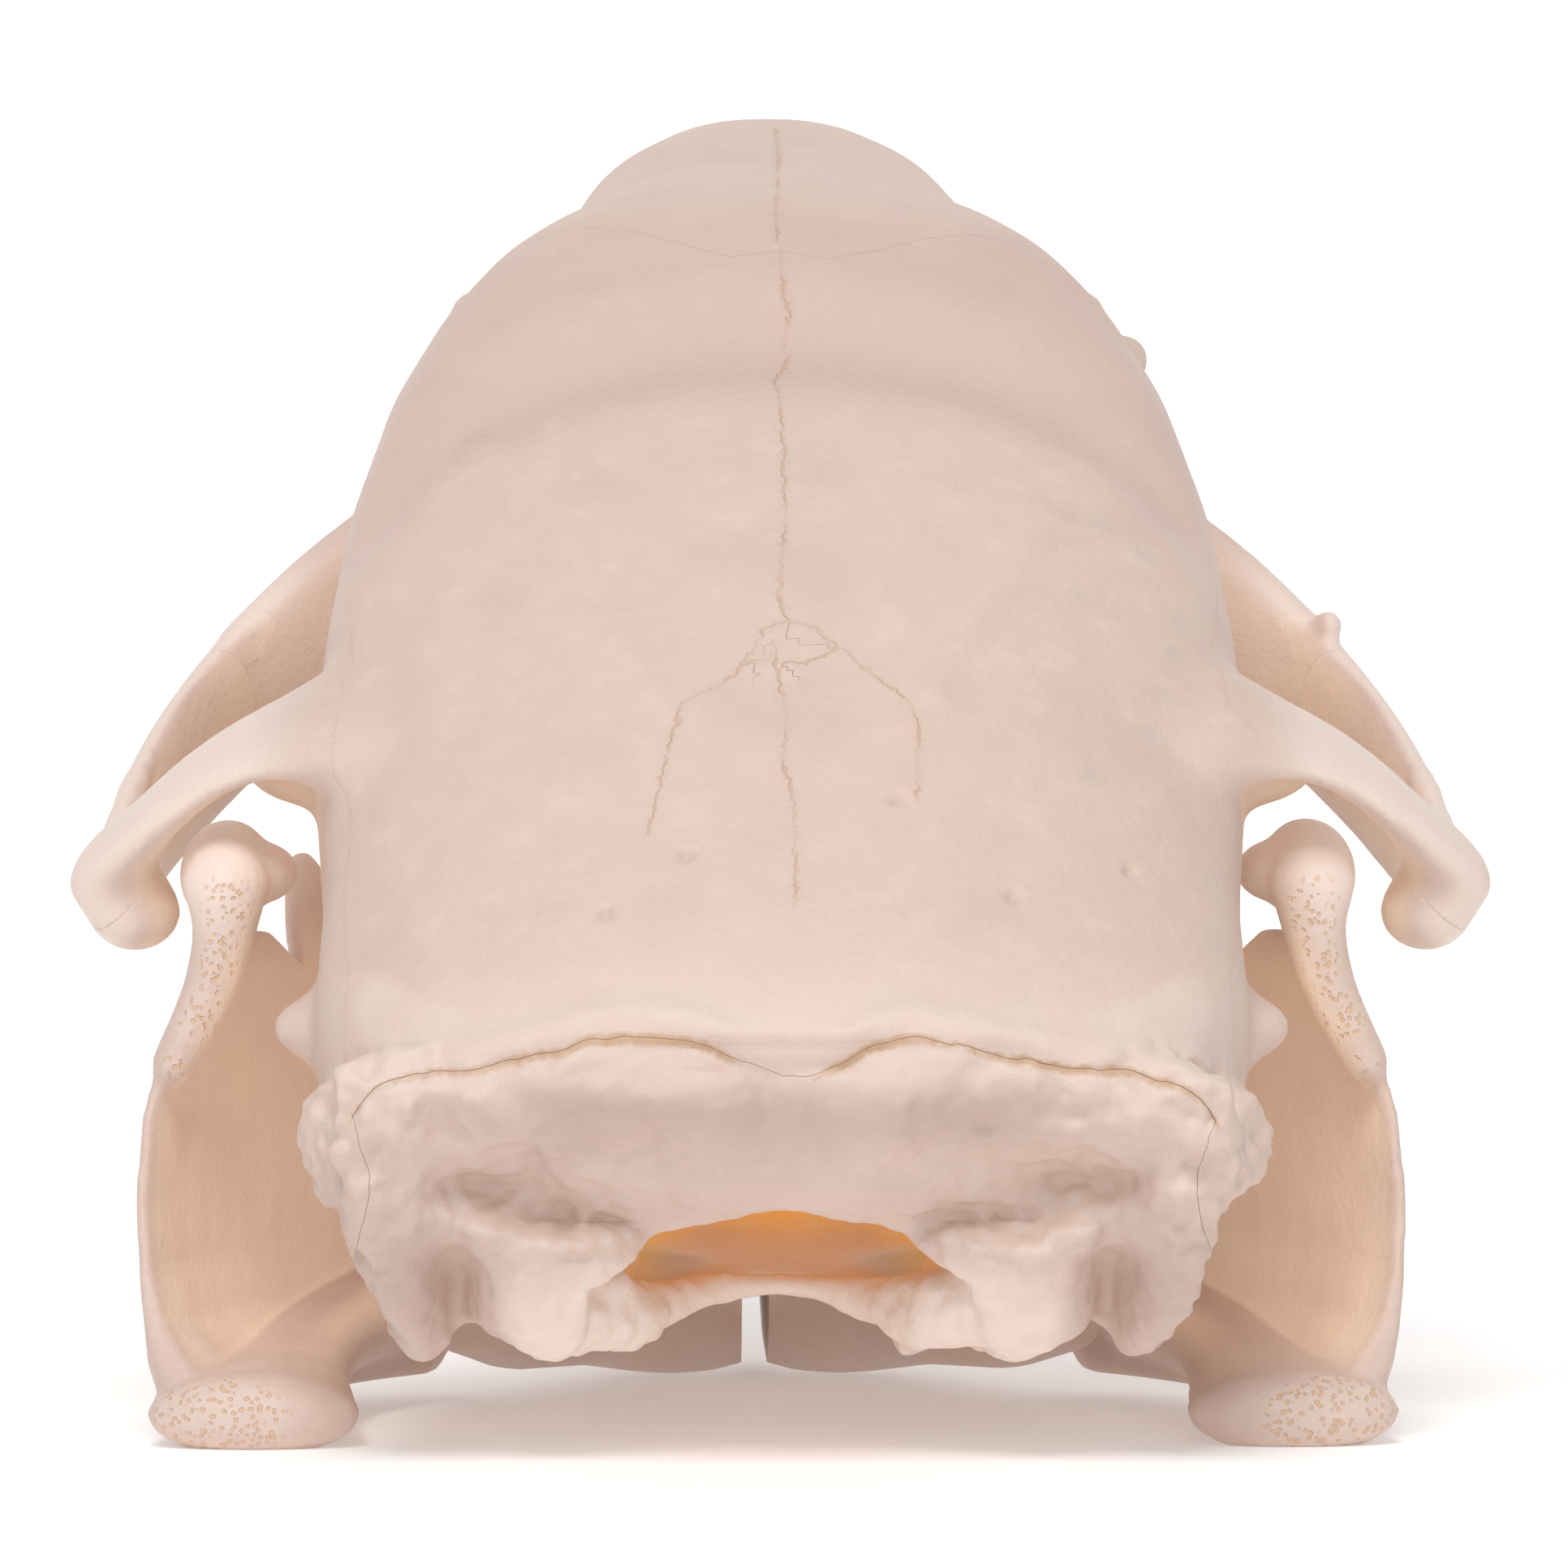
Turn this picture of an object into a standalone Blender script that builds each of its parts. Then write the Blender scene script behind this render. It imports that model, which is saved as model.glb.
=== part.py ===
"""Life-size skull of a young North American porcupine (Erethizon dorsatum).

The skull stands on its lower jaw, nose up, the way it rests on a table. Lengths are in
millimetres and are scaled to metres where the meshes are made. X runs to the animal's
right, Y to the nose and Z up. The cranium is modelled in its own frame, whose origin is
the middle of the nuchal crest and whose Y runs along the palate. The lower jaw is
modelled in the floor's frame, with Y measured from below the nuchal crest.
"""

import math
from collections import namedtuple

import bmesh
import bpy
from mathutils import Euler, Matrix, Vector

# Driving dimensions
MM = 0.001
GAP = 0.3
CRANIUM_PITCH = math.radians(25)
CRANIUM_YAW = math.radians(0.35)
JAW_YAW = math.radians(1.6)
CREST_HEIGHT = 20.3
SNOUT_BEND = 0.5
SKULL_MIDDLE_Y = 46.2
SKULL_MIDDLE_X = -0.2

# Fineness of the surfaces
CORE_VOXEL = 0.6
FINE_VOXEL = 0.42
CRANIUM_TRIANGLES = 5600
JAW_TRIANGLES = 1550

# Colours, roughness: pale bone for every node
BONE_COLOUR = (0.80, 0.70, 0.61, 1.0)
BONE_ROUGHNESS = 0.55

Station = namedtuple("Station", "y lean top wide_at half_width bottom n_top n_bottom")


# Blender helpers

def clear_scene():
    for item in list(bpy.data.objects):
        bpy.data.objects.remove(item, do_unlink=True)


def add_object(name, bm):
    bmesh.ops.recalc_face_normals(bm, faces=bm.faces)
    bmesh.ops.scale(bm, vec=(MM, MM, MM), verts=bm.verts)
    mesh = bpy.data.meshes.new(name)
    bm.to_mesh(mesh)
    bm.free()
    item = bpy.data.objects.new(name, mesh)
    bpy.context.scene.collection.objects.link(item)
    return item


def bake_modifiers(item):
    graph = bpy.context.evaluated_depsgraph_get()
    baked = bpy.data.meshes.new_from_object(item.evaluated_get(graph))
    item.modifiers.clear()
    item.data = baked


def boolean(item, others, operation):
    """One Boolean on a collection of closed pieces, which are then removed."""
    group = bpy.data.collections.new(operation.lower() + "_pieces")
    bpy.context.scene.collection.children.link(group)
    for other in others:
        group.objects.link(other)
    step = item.modifiers.new(operation.lower(), "BOOLEAN")
    step.operation = operation
    step.operand_type = "COLLECTION"
    step.collection = group
    step.solver = "MANIFOLD"
    bake_modifiers(item)
    for other in others:
        bpy.data.objects.remove(other, do_unlink=True)
    bpy.data.collections.remove(group)
    keep_largest(item)
    return item


def keep_largest(item):
    """Drops all but the largest closed surface."""
    bm = bmesh.new()
    bm.from_mesh(item.data)
    todo = set(bm.verts)
    bodies = []
    while todo:
        front = [todo.pop()]
        body = list(front)
        while front:
            vert = front.pop()
            for edge in vert.link_edges:
                other = edge.other_vert(vert)
                if other in todo:
                    todo.remove(other)
                    front.append(other)
                    body.append(other)
        bodies.append(body)
    bodies.sort(key=len, reverse=True)
    for body in bodies[1:]:
        bmesh.ops.delete(bm, geom=body, context="VERTS")
    bm.to_mesh(item.data)
    bm.free()


def remesh(item, voxel):
    step = item.modifiers.new("remesh", "REMESH")
    step.mode = "VOXEL"
    step.voxel_size = voxel * MM
    bake_modifiers(item)
    keep_largest(item)


def smooth(item, turns):
    step = item.modifiers.new("smooth", "SMOOTH")
    step.factor = 0.5
    step.iterations = turns
    bake_modifiers(item)


def decimate(item, triangles):
    count = sum(len(face.vertices) - 2 for face in item.data.polygons)
    step = item.modifiers.new("decimate", "DECIMATE")
    step.ratio = triangles / count
    step.use_collapse_triangulate = True
    bake_modifiers(item)


def duplicate(item, name):
    twin = bpy.data.objects.new(name, item.data.copy())
    bpy.context.scene.collection.objects.link(twin)
    return twin


# Shapes

def loft(name, rings):
    """Closed body through rings of equally many points, with a fan at each end."""
    bm = bmesh.new()
    rows = [[bm.verts.new(point) for point in ring] for ring in rings]
    count = len(rows[0])
    for low, high in zip(rows, rows[1:]):
        for k in range(count):
            n = (k + 1) % count
            bm.faces.new((low[k], low[n], high[n], high[k]))
    for row in (rows[0], rows[-1]):
        middle = bm.verts.new(sum((vert.co for vert in row), Vector()) / count)
        for k in range(count):
            bm.faces.new((row[k], row[(k + 1) % count], middle))
    return add_object(name, bm)


def signed_power(value, power):
    return math.copysign(abs(value) ** power, value)


def oval(centre, side, up, half_width, rise, drop, n_top=2.0, n_bottom=2.0, count=40):
    """Ring of a superellipse with its own rise, drop and squareness above and below."""
    ring = []
    for k in range(count):
        angle = 2 * math.pi * k / count
        upper = math.sin(angle) >= 0
        power = 2.0 / (n_top if upper else n_bottom)
        across = half_width * signed_power(math.cos(angle), power)
        height = (rise if upper else drop) * signed_power(math.sin(angle), power)
        ring.append(centre + side * across + up * height)
    return ring


def curve_points(points, steps):
    """Points of a Catmull-Rom curve through points of any dimension."""
    full = [2 * points[0] - points[1]] + list(points) + [2 * points[-1] - points[-2]]
    out = []
    for a, b, c, d in zip(full, full[1:], full[2:], full[3:]):
        for k in range(steps):
            t = k / steps
            out.append(0.5 * (2 * b + (c - a) * t + (2 * a - 5 * b + 4 * c - d) * t * t
                              + (3 * b - a - 3 * c + d) * t ** 3))
    out.append(points[-1])
    return out


def tube(name, route, up=(0, 0, 1), steps=4, count=16, squareness=2.0):
    """Tapered bar with round ends along route: (x, y, z, half width, half height)."""
    places = curve_points([Vector(stop[:3]) for stop in route], steps)
    sizes = curve_points([Vector((stop[3], stop[4], 0)) for stop in route], steps)
    up = Vector(up)
    stops = list(zip(places, sizes))
    rings = []
    last = len(stops) - 1
    for k, (place, size) in enumerate(stops):
        ahead = places[min(k + 1, last)] - places[max(k - 1, 0)]
        ahead.normalize()
        side = ahead.cross(up).normalized()
        top = side.cross(ahead).normalized()
        ends = []
        if k == 0:
            ends = [(-0.95, 0.35), (-0.7, 0.72), (-0.3, 0.95)]
        for shift, share in ends:
            reach = min(size.x, size.y) * shift
            rings.append(oval(place + ahead * reach, side, top, size.x * share,
                              size.y * share, size.y * share, squareness, squareness, count))
        rings.append(oval(place, side, top, size.x, size.y, size.y,
                          squareness, squareness, count))
        if k == last:
            for shift, share in [(0.3, 0.95), (0.7, 0.72), (0.95, 0.35)]:
                reach = min(size.x, size.y) * shift
                rings.append(oval(place + ahead * reach, side, top, size.x * share,
                                  size.y * share, size.y * share, squareness, squareness,
                                  count))
    return loft(name, rings)


def ellipsoid(name, centre, radii, turn=(0, 0, 0), fineness=4):
    bm = bmesh.new()
    bmesh.ops.create_icosphere(bm, subdivisions=fineness, radius=1.0)
    angles = Euler([math.radians(angle) for angle in turn])
    place = Matrix.Translation(Vector(centre)) @ angles.to_matrix().to_4x4()
    place = place @ Matrix.Diagonal((*radii, 1.0))
    bmesh.ops.transform(bm, matrix=place, verts=bm.verts)
    return add_object(name, bm)


def prism(name, outline, reach, shift, steps=32):
    """Outline in the YZ plane, drawn out along X to reach on both sides. shift(x) moves it in Y."""
    rings = []
    for k in range(steps + 1):
        x = reach * (2 * k / steps - 1)
        rings.append([Vector((x, y + shift(x), z)) for y, z in outline])
    return loft(name, rings)


def box(name, low, high):
    bm = bmesh.new()
    bmesh.ops.create_cube(bm, size=1.0)
    size = Vector(high) - Vector(low)
    middle = (Vector(high) + Vector(low)) / 2
    place = Matrix.Translation(middle) @ Matrix.Diagonal((*size, 1.0))
    bmesh.ops.transform(bm, matrix=place, verts=bm.verts)
    return add_object(name, bm)


def interpolate(value, stops):
    """Value at a position, from stops of (position, value) in rising order."""
    for (low, first), (high, second) in zip(stops, stops[1:]):
        if value < high:
            share = max(0.0, (value - low) / (high - low))
            return first + (second - first) * share
    return stops[-1][1]


def sheet(name, columns):
    """Closed body between two grids. Each column holds (outer point, inner point) pairs."""
    bm = bmesh.new()
    grids = []
    for face in (0, 1):
        grids.append([[bm.verts.new(pair[face]) for pair in column] for column in columns])
    outer, inner = grids
    last_column = len(columns) - 1
    last_row = len(columns[0]) - 1
    for i in range(last_column):
        for k in range(last_row):
            for grid in grids:
                bm.faces.new((grid[i][k], grid[i + 1][k], grid[i + 1][k + 1], grid[i][k + 1]))
        for k in (0, last_row):
            bm.faces.new((outer[i][k], outer[i + 1][k], inner[i + 1][k], inner[i][k]))
    for k in range(last_row):
        for i in (0, last_column):
            bm.faces.new((outer[i][k], outer[i][k + 1], inner[i][k + 1], inner[i][k]))
    return add_object(name, bm)


def mirrored(side, point):
    return (side * point[0], *point[1:])


def on_side(side, route):
    return [mirrored(side, stop) for stop in route]


# Cranium, in its own frame

VAULT = (
    Station(0.6, 32, 0.0, -9.0, 21.4, -21.2, 3.4, 2.8),
    Station(8.0, 28, 3.8, -7.0, 23.0, -21.6, 2.9, 2.8),
    Station(18.0, 15, 7.5, -4.0, 22.6, -20.6, 2.5, 2.5),
    Station(27.0, 6, 10.2, -1.0, 23.1, -18.6, 2.4, 2.2),
    Station(36.0, 0, 12.4, 2.0, 22.9, -15.0, 2.4, 1.8),
    Station(44.0, 0, 13.8, 4.5, 21.9, -12.5, 2.5, 1.6),
    Station(52.0, 0, 15.1, 6.0, 20.1, -12.0, 2.7, 1.6),
    Station(57.5, 0, 16.1, 7.0, 18.0, -12.0, 2.7, 1.6),
    Station(61.5, 0, 16.1, 6.5, 16.1, -12.0, 2.9, 1.7),
    Station(65.0, 0, 15.2, 5.0, 14.4, -12.2, 3.1, 1.8),
    Station(68.5, 0, 14.1, 2.5, 12.7, -12.3, 3.0, 1.8),
    Station(76.0, 0, 11.9, 1.0, 11.7, -12.6, 2.8, 1.9),
    Station(83.0, 0, 9.9, -1.0, 10.8, -13.6, 2.7, 2.1),
    Station(88.0, 0, 8.3, -2.5, 8.8, -14.0, 2.5, 2.2),
)
UPPER_TEETH_START = 36.0
TOOTH_LENGTH = 6.3
TOOTH_COUNT = 4
UPPER_BITE_BACK = -19.9
UPPER_BITE_SLOPE = math.tan(math.radians(5))
OCCIPUT_LEAN = math.radians(32)


def vault():
    rings = []
    for stop in VAULT:
        lean = math.radians(stop.lean)
        up = Vector((0, -math.sin(lean), math.cos(lean)))
        stretch = 1.0 / math.cos(lean)
        bend = -SNOUT_BEND * max(0.0, stop.y - 60.0) / 28.0
        crown = Vector((bend, stop.y, stop.top))
        rise = (stop.top - stop.wide_at) * stretch
        drop = (stop.wide_at - stop.bottom) * stretch
        rings.append(oval(crown - up * rise, Vector((1, 0, 0)), up, stop.half_width,
                          rise, drop, stop.n_top, stop.n_bottom, 64))
    return loft("vault", rings)


def maxilla():
    """Block that carries the upper cheek teeth."""
    rings = []
    for y, half_width, low in ((30.0, 9.0, -14.5), (36.0, 12.6, -16.0), (48.0, 12.0, -17.2),
                               (60.0, 10.6, -18.2), (65.0, 8.5, -16.0), (70.0, 6.0, -13.5)):
        centre = Vector((0, y, -9.0))
        rings.append(oval(centre, Vector((1, 0, 0)), Vector((0, 0, 1)), half_width,
                          5.0, -9.0 - low, 2.2, 3.4))
    return loft("maxilla", rings)


def cheek_arch(side):
    """Bars of one zygomatic arch."""
    squamosal = tube("squamosal_bar", on_side(side, [
        (17.0, 28.0, 3.4, 6.5, 2.6), (22.0, 28.0, 3.2, 5.2, 2.2), (25.2, 28.2, 2.4, 4.0, 1.1),
        (28.0, 28.2, 1.0, 3.2, 1.0), (30.5, 28.2, -1.2, 2.7, 1.3), (32.6, 28.6, -3.8, 2.6, 1.7),
        (33.5, 29.2, -5.8, 2.8, 1.8)]))
    joint_roof = ellipsoid("joint_roof", (side * 23.6, 34.0, 0.0), (4.2, 5.2, 2.6))
    jugal = tube("jugal_bar", on_side(side, [
        (32.1, 28.0, -7.3, 2.5, 2.0), (32.9, 33.0, -8.5, 2.0, 2.7), (32.9, 38.0, -9.4, 1.4, 3.5),
        (31.9, 46.0, -11.1, 1.3, 4.5), (30.1, 53.0, -11.7, 1.4, 4.9), (27.3, 59.0, -11.1, 1.9, 4.8)]))
    upper_root = tube("upper_root", on_side(side, [
        (11.0, 65.5, 3.0, 2.4, 3.0), (17.5, 64.0, -2.2, 1.8, 2.4), (23.5, 61.6, -6.2, 1.8, 2.4),
        (27.3, 58.7, -9.0, 1.8, 2.6)]))
    cheek_plate = tube("cheek_plate", on_side(side, [
        (20.5, 61.6, -11.5, 1.9, 4.6), (24.0, 60.6, -11.0, 1.9, 5.8), (27.2, 58.6, -11.1, 1.9, 5.1)]))
    lower_root = tube("lower_root", on_side(side, [
        (8.0, 61.0, -12.5, 3.4, 2.6), (16.0, 61.0, -14.8, 2.6, 1.9), (22.5, 60.4, -15.0, 2.2, 2.0)]))
    return [squamosal, joint_roof, jugal, upper_root, cheek_plate, lower_root]


def ear_capsule(side, grow=0.0):
    """Bulla and the bony tube of the ear."""
    bulla = ellipsoid("bulla", (side * 13.6, 17.5, -14.2),
                      (6.8 + grow, 10.2 + grow, 7.9 + grow), (0, 0, side * 14), 3)
    ear_tube = tube("ear_tube", on_side(side, [
        (17.0, 19.6, -9.6, 3.4 + grow, 3.4 + grow), (21.0, 18.6, -8.6, 2.9 + grow, 2.9 + grow),
        (23.9, 17.6, -8.0, 1.5 + grow, 1.5 + grow)]), steps=2, count=12)
    return [bulla, ear_tube]


def mastoid_region(side):
    """Swelling behind the ear."""
    return [ellipsoid("mastoid", (side * 20.6, 6.0, -7.9), (2.9, 4.4, 3.2))]


# Back of the skull, as seen level from behind: |x|, height above the floor, depth from the crest

CREST_LINE = ((0.0, 19.6), (2.2, 20.1), (4.8, 21.6), (7.2, 21.9), (10.0, 21.1), (13.5, 20.4),
              (17.5, 19.9), (21.6, 18.4))
LOWER_EDGE = ((0.0, 12.5), (1.4, 12.4), (3.7, 11.4), (5.4, 10.5), (7.6, 9.7), (9.4, 8.8),
              (9.9, 5.0), (11.5, 4.8), (13.4, 5.9), (15.0, 6.8), (15.9, 6.3), (16.7, 5.1),
              (17.8, 5.0), (18.9, 6.2), (19.7, 7.8), (20.4, 9.8), (21.0, 12.0), (21.6, 14.4))
DEPTH_MIDDLE = ((11.0, 9.0), (12.6, 5.6), (13.6, 4.2), (15.0, 2.9), (16.5, 1.9), (18.0, 1.2),
                (19.0, 1.2), (20.0, 1.6), (21.0, 2.2), (22.0, 2.8))
DEPTH_CONDYLE = ((4.0, 11.0), (5.5, 8.6), (7.5, 7.0), (9.5, 6.2), (11.0, 6.4), (12.0, 6.6),
                 (13.5, 5.6), (15.0, 4.2), (16.5, 2.8), (18.0, 1.7), (19.0, 1.4), (20.0, 1.7),
                 (21.0, 2.2), (22.0, 2.8))
DEPTH_SIDE = ((4.5, 10.5), (6.0, 8.6), (8.0, 6.8), (11.0, 5.2), (14.0, 3.8), (17.0, 2.4),
              (18.5, 2.0), (20.0, 2.4), (22.0, 3.4))
Bump = namedtuple("Bump", "x z wide high depth")
BUMPS = (
    Bump(6.6, 18.2, 4.4, 2.0, -0.6), Bump(0.0, 17.6, 1.6, 2.6, 0.5),
    Bump(14.8, 13.9, 3.0, 1.1, 1.7), Bump(9.4, 12.0, 3.6, 0.8, 0.9),
    Bump(14.6, 11.3, 1.9, 0.8, -1.5), Bump(10.6, 10.4, 3.0, 0.9, -0.9),
    Bump(12.0, 8.0, 2.2, 2.4, -1.0),
    Bump(15.9, 8.6, 0.8, 2.2, 5.0), Bump(18.3, 11.0, 1.8, 5.0, -1.0),
)


def skull_point(x, y, z):
    """Point of the floor's frame, with Y from the crest, in the skull's frame."""
    rise = z - CREST_HEIGHT
    sine = math.sin(CRANIUM_PITCH)
    cosine = math.cos(CRANIUM_PITCH)
    return Vector((x, y * cosine + rise * sine, -y * sine + rise * cosine))


def occiput_depth(x, z):
    """Depth of the bone's surface under the nuchal crest."""
    x = abs(x)
    middle = interpolate(z, DEPTH_MIDDLE)
    condyle = interpolate(z, DEPTH_CONDYLE)
    side = interpolate(z, DEPTH_SIDE)
    if x < 10.0:
        share = max(0.0, x - 2.0) / 8.0
        depth = middle + (condyle - middle) * share * share * (3 - 2 * share)
    else:
        share = min(1.0, (x - 10.0) / 7.0)
        depth = condyle + (side - condyle) * share * share * (3 - 2 * share)
    for bump in BUMPS:
        fall = ((x - bump.x) / bump.wide) ** 2 + ((z - bump.z) / bump.high) ** 2
        depth += bump.depth * math.exp(-fall)
    return depth


def occiput():
    """Plate from the nuchal crest down to the processes beside the condyles."""
    columns = []
    for i in range(-36, 37):
        x = 0.6 * i
        low = interpolate(abs(x), LOWER_EDGE)
        high = interpolate(abs(x), CREST_LINE)
        column = []
        for k in range(29):
            z = low + (high - low) * k / 28
            depth = occiput_depth(x, z)
            inner = max(depth + 3.2, min(1.3 + 1.54 * (20.55 - z), 15.0))
            column.append((skull_point(x, depth, z), skull_point(x, inner, z)))
        columns.append(column)
    return sheet("occiput", columns)


def nuchal_crest():
    """Low rounded rim along the top of the plate."""
    route = []
    for k in range(-10, 11):
        x = 2.1 * k
        z = interpolate(abs(x), CREST_LINE)
        point = skull_point(x, occiput_depth(x, z) + 0.9, z + 0.1)
        route.append((*point, 0.9, 0.7))
    return tube("nuchal_crest", route, steps=2, count=10)


def condyle(side):
    return ellipsoid("condyle", (side * 10.8, 8.8, -16.2), (3.9, 4.6, 4.6), (30, 0, side * 24))


def pterygoid(side):
    return tube("pterygoid", on_side(side, [
        (5.6, 37.0, -12.0, 1.0, 3.4), (6.2, 31.0, -14.0, 0.9, 3.6), (7.2, 25.5, -16.2, 0.9, 2.8)]))


def eye_hollow(side):
    """Cuts the eye socket and the hollow behind it out of the vault's side."""
    socket = ellipsoid("socket", (side * 27.0, 50.5, -5.5), (13.0, 15.5, 12.0), (0, 0, side * 8))
    behind = ellipsoid("behind", (side * 28.5, 39.0, -7.5), (11.5, 10.5, 10.5))
    return [socket, behind]


Canal = namedtuple("Canal", "y z half_width rise drop")
CANAL = (
    Canal(-4.0, -23.0, 10.8, 17.0, 7.0),
    Canal(8.7, -15.0, 10.2, 5.4, 6.0),
    Canal(16.0, -10.4, 10.0, 6.2, 5.6),
    Canal(24.0, -5.6, 11.0, 7.6, 6.2),
)
CANAL_RISE = math.radians(32)


def brain_cavity():
    """Hollow that shows through the foramen magnum."""
    up = Vector((0, -math.sin(CANAL_RISE), math.cos(CANAL_RISE)))
    rings = []
    for stop in CANAL:
        rings.append(oval(Vector((0, stop.y, stop.z)), Vector((1, 0, 0)), up, stop.half_width,
                          stop.rise, stop.drop, 1.7, 2.3, 48))
    chamber = ellipsoid("chamber", (0, 28.0, -3.0), (13.5, 15.0, 9.5))
    behind = ellipsoid("chamber_behind", (0, 12.0, -4.6), (11.0, 6.4, 5.0))
    return [loft("canal", rings), chamber, behind]


def nose_opening():
    return tube("nose_opening", [(0, 70.0, 0.0, 3.6, 4.0), (0, 80.0, -1.0, 6.4, 6.2),
                                 (0, 94.0, -2.6, 8.0, 8.2)])


def upper_incisor(side):
    """Curved cutting tooth, flat to its partner, ending in a chisel edge."""
    return tube("upper_incisor", on_side(side, [
        (2.5, 79.0, -6.0, 2.1, 2.4), (2.45, 84.6, -12.0, 2.2, 2.5), (2.4, 87.6, -19.0, 2.2, 2.5),
        (2.4, 87.4, -25.6, 2.15, 2.1), (2.4, 85.8, -30.0, 2.05, 0.9)]),
        up=(0, 1, 0), steps=2, count=10, squareness=3.0)


def cheek_tooth(name, centre, height, lean=0.0):
    """Column of oval section with a flat top, height above centre or below it."""
    rings = []
    for share, width in ((1.0, 0.9), (0.2, 1.0), (0.0, 0.9)):
        z = centre.z + height * share
        y = centre.y + lean * height * share
        rings.append(oval(Vector((centre.x, y, z)), Vector((1, 0, 0)), Vector((0, 1, 0)),
                          2.9 * width, 3.1 * width, 3.1 * width, 3.2, 3.2, 14))
    return loft(name, rings)


def upper_cheek_tooth(side, number):
    y = UPPER_TEETH_START + TOOTH_LENGTH * (number + 0.5)
    bite = UPPER_BITE_BACK - UPPER_BITE_SLOPE * (y - UPPER_TEETH_START)
    return cheek_tooth("upper_cheek_tooth", Vector((side * (9.9 - 0.55 * number), y, bite)), 6.0)


def build_cranium():
    both = (-1, 1)
    core = boolean(vault(), [part for side in both for part in eye_hollow(side)], "DIFFERENCE")
    added = [maxilla()]
    for side in both:
        added += cheek_arch(side) + ear_capsule(side)
    boolean(core, added, "UNION")
    remesh(core, CORE_VOXEL)
    smooth(core, 14)
    fine = [nuchal_crest(), occiput()]
    fine.append(ellipsoid("basioccipital", (0, 14.0, -20.6), (9.5, 8.0, 2.6)))
    for side in both:
        fine += mastoid_region(side) + [condyle(side), pterygoid(side)]
        fine.append(ellipsoid("brow_corner", (side * 16.2, 60.6, 9.6), (1.1, 1.6, 1.6)))
    fine.append(ellipsoid("brow_knob", (18.3, 57.4, 9.2), (1.1, 1.4, 1.2)))
    fine.append(ellipsoid("cheek_knob", (28.6, 58.0, -6.7), (0.8, 0.8, 0.9)))
    boolean(core, fine, "UNION")
    cuts = brain_cavity() + [nose_opening()]
    cuts.append(ellipsoid("palate_vault", (0, 50.0, -19.0), (4.6, 19.0, 3.6)))
    cuts.append(ellipsoid("throat_notch", (0, 29.0, -18.0), (4.6, 9.5, 5.5)))
    cuts.append(ellipsoid("condyle_notch", (0, 9.0, -25.4), (7.6, 8.0, 4.2), (20, 0, 0)))
    boolean(core, cuts, "DIFFERENCE")
    remesh(core, FINE_VOXEL)
    smooth(core, 7)
    decimate(core, CRANIUM_TRIANGLES)
    teeth = []
    for side in both:
        teeth += [upper_cheek_tooth(side, number) for number in range(TOOTH_COUNT)]
        teeth.append(upper_incisor(side))
    return boolean(core, teeth, "UNION")


# Regions that part the cranium into its bones, each grown by a gap for its neighbour

def jugal_region(side, grow):
    """Outer half of the arch, under a slanting seam at its back end."""
    rings = []
    for y, inner, inner_top, outer_top in (
            (18.0, 26.8, -0.7, -15.5), (31.0 - 1.5 * grow, 26.8, -0.7, -15.5),
            (36.5 - 1.5 * grow, 29.0, 9.0, 9.0), (56.0 + grow, 26.0, 9.0, 9.0)):
        corners = [(inner - grow, inner_top + 1.5 * grow), (42.0, outer_top + 1.5 * grow),
                   (42.0, -32.0), (inner - grow, -32.0)]
        rings.append([Vector((side * x, y, z)) for x, z in corners])
    return [loft("jugal_region", rings)]


def ear_region(side, grow):
    return ear_capsule(side, 0.5 + grow)


# The seam between the frontals and the nasals: x, y
FRONTONASAL = ((-20.0, 61.6), (-9.3, 59.8), (-5.0, 56.8), (-2.4, 55.3), (0.0, 55.9), (3.0, 55.0),
               (5.8, 56.6), (9.1, 58.8), (20.0, 61.6))


def rostrum_region(side, grow):
    """Snout in front of the seam at the frontals, and the tooth-bearing bone below."""
    outline = [(-grow, 30.0), (-grow, -3.0), (-4.6 - grow, -8.0 + grow),
               (-23.6 - grow, -8.6 + grow), (-25.6 - grow, -32.0), (50.0, -32.0), (50.0, 30.0)]
    return [prism("rostrum_region", outline, 40.0, lambda x: interpolate(x, FRONTONASAL))]


def occipital_region(side, grow):
    """Plug whose upper edge follows the groove just under the nuchal crest."""
    edge = []
    for k in range(-13, 14):
        x = 1.6 * k
        edge.append((x * (1 + grow / 20.8), interpolate(abs(x), CREST_LINE) - 0.5 + grow))
    edge += [(20.8 + grow, 14.0), (20.8 + grow, -9.0), (-20.8 - grow, -9.0), (-20.8 - grow, 14.0)]
    behind = [skull_point(x, -8.0, z) for x, z in edge]
    front = [skull_point(x, 16.5 + grow + 0.9 * (20.0 - z), z) for x, z in edge]
    return [loft("occipital_region", [behind, front])]


def part_off(whole, name, region, side):
    """Takes a named bone off the whole and leaves a thin gap between them."""
    piece = duplicate(whole, name)
    first, *others = region(side, 0.0)
    if others:
        boolean(first, others, "UNION")
    boolean(piece, [first], "INTERSECT")
    boolean(whole, region(side, GAP), "DIFFERENCE")
    return piece


# Lower jaw, in the floor's frame

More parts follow.
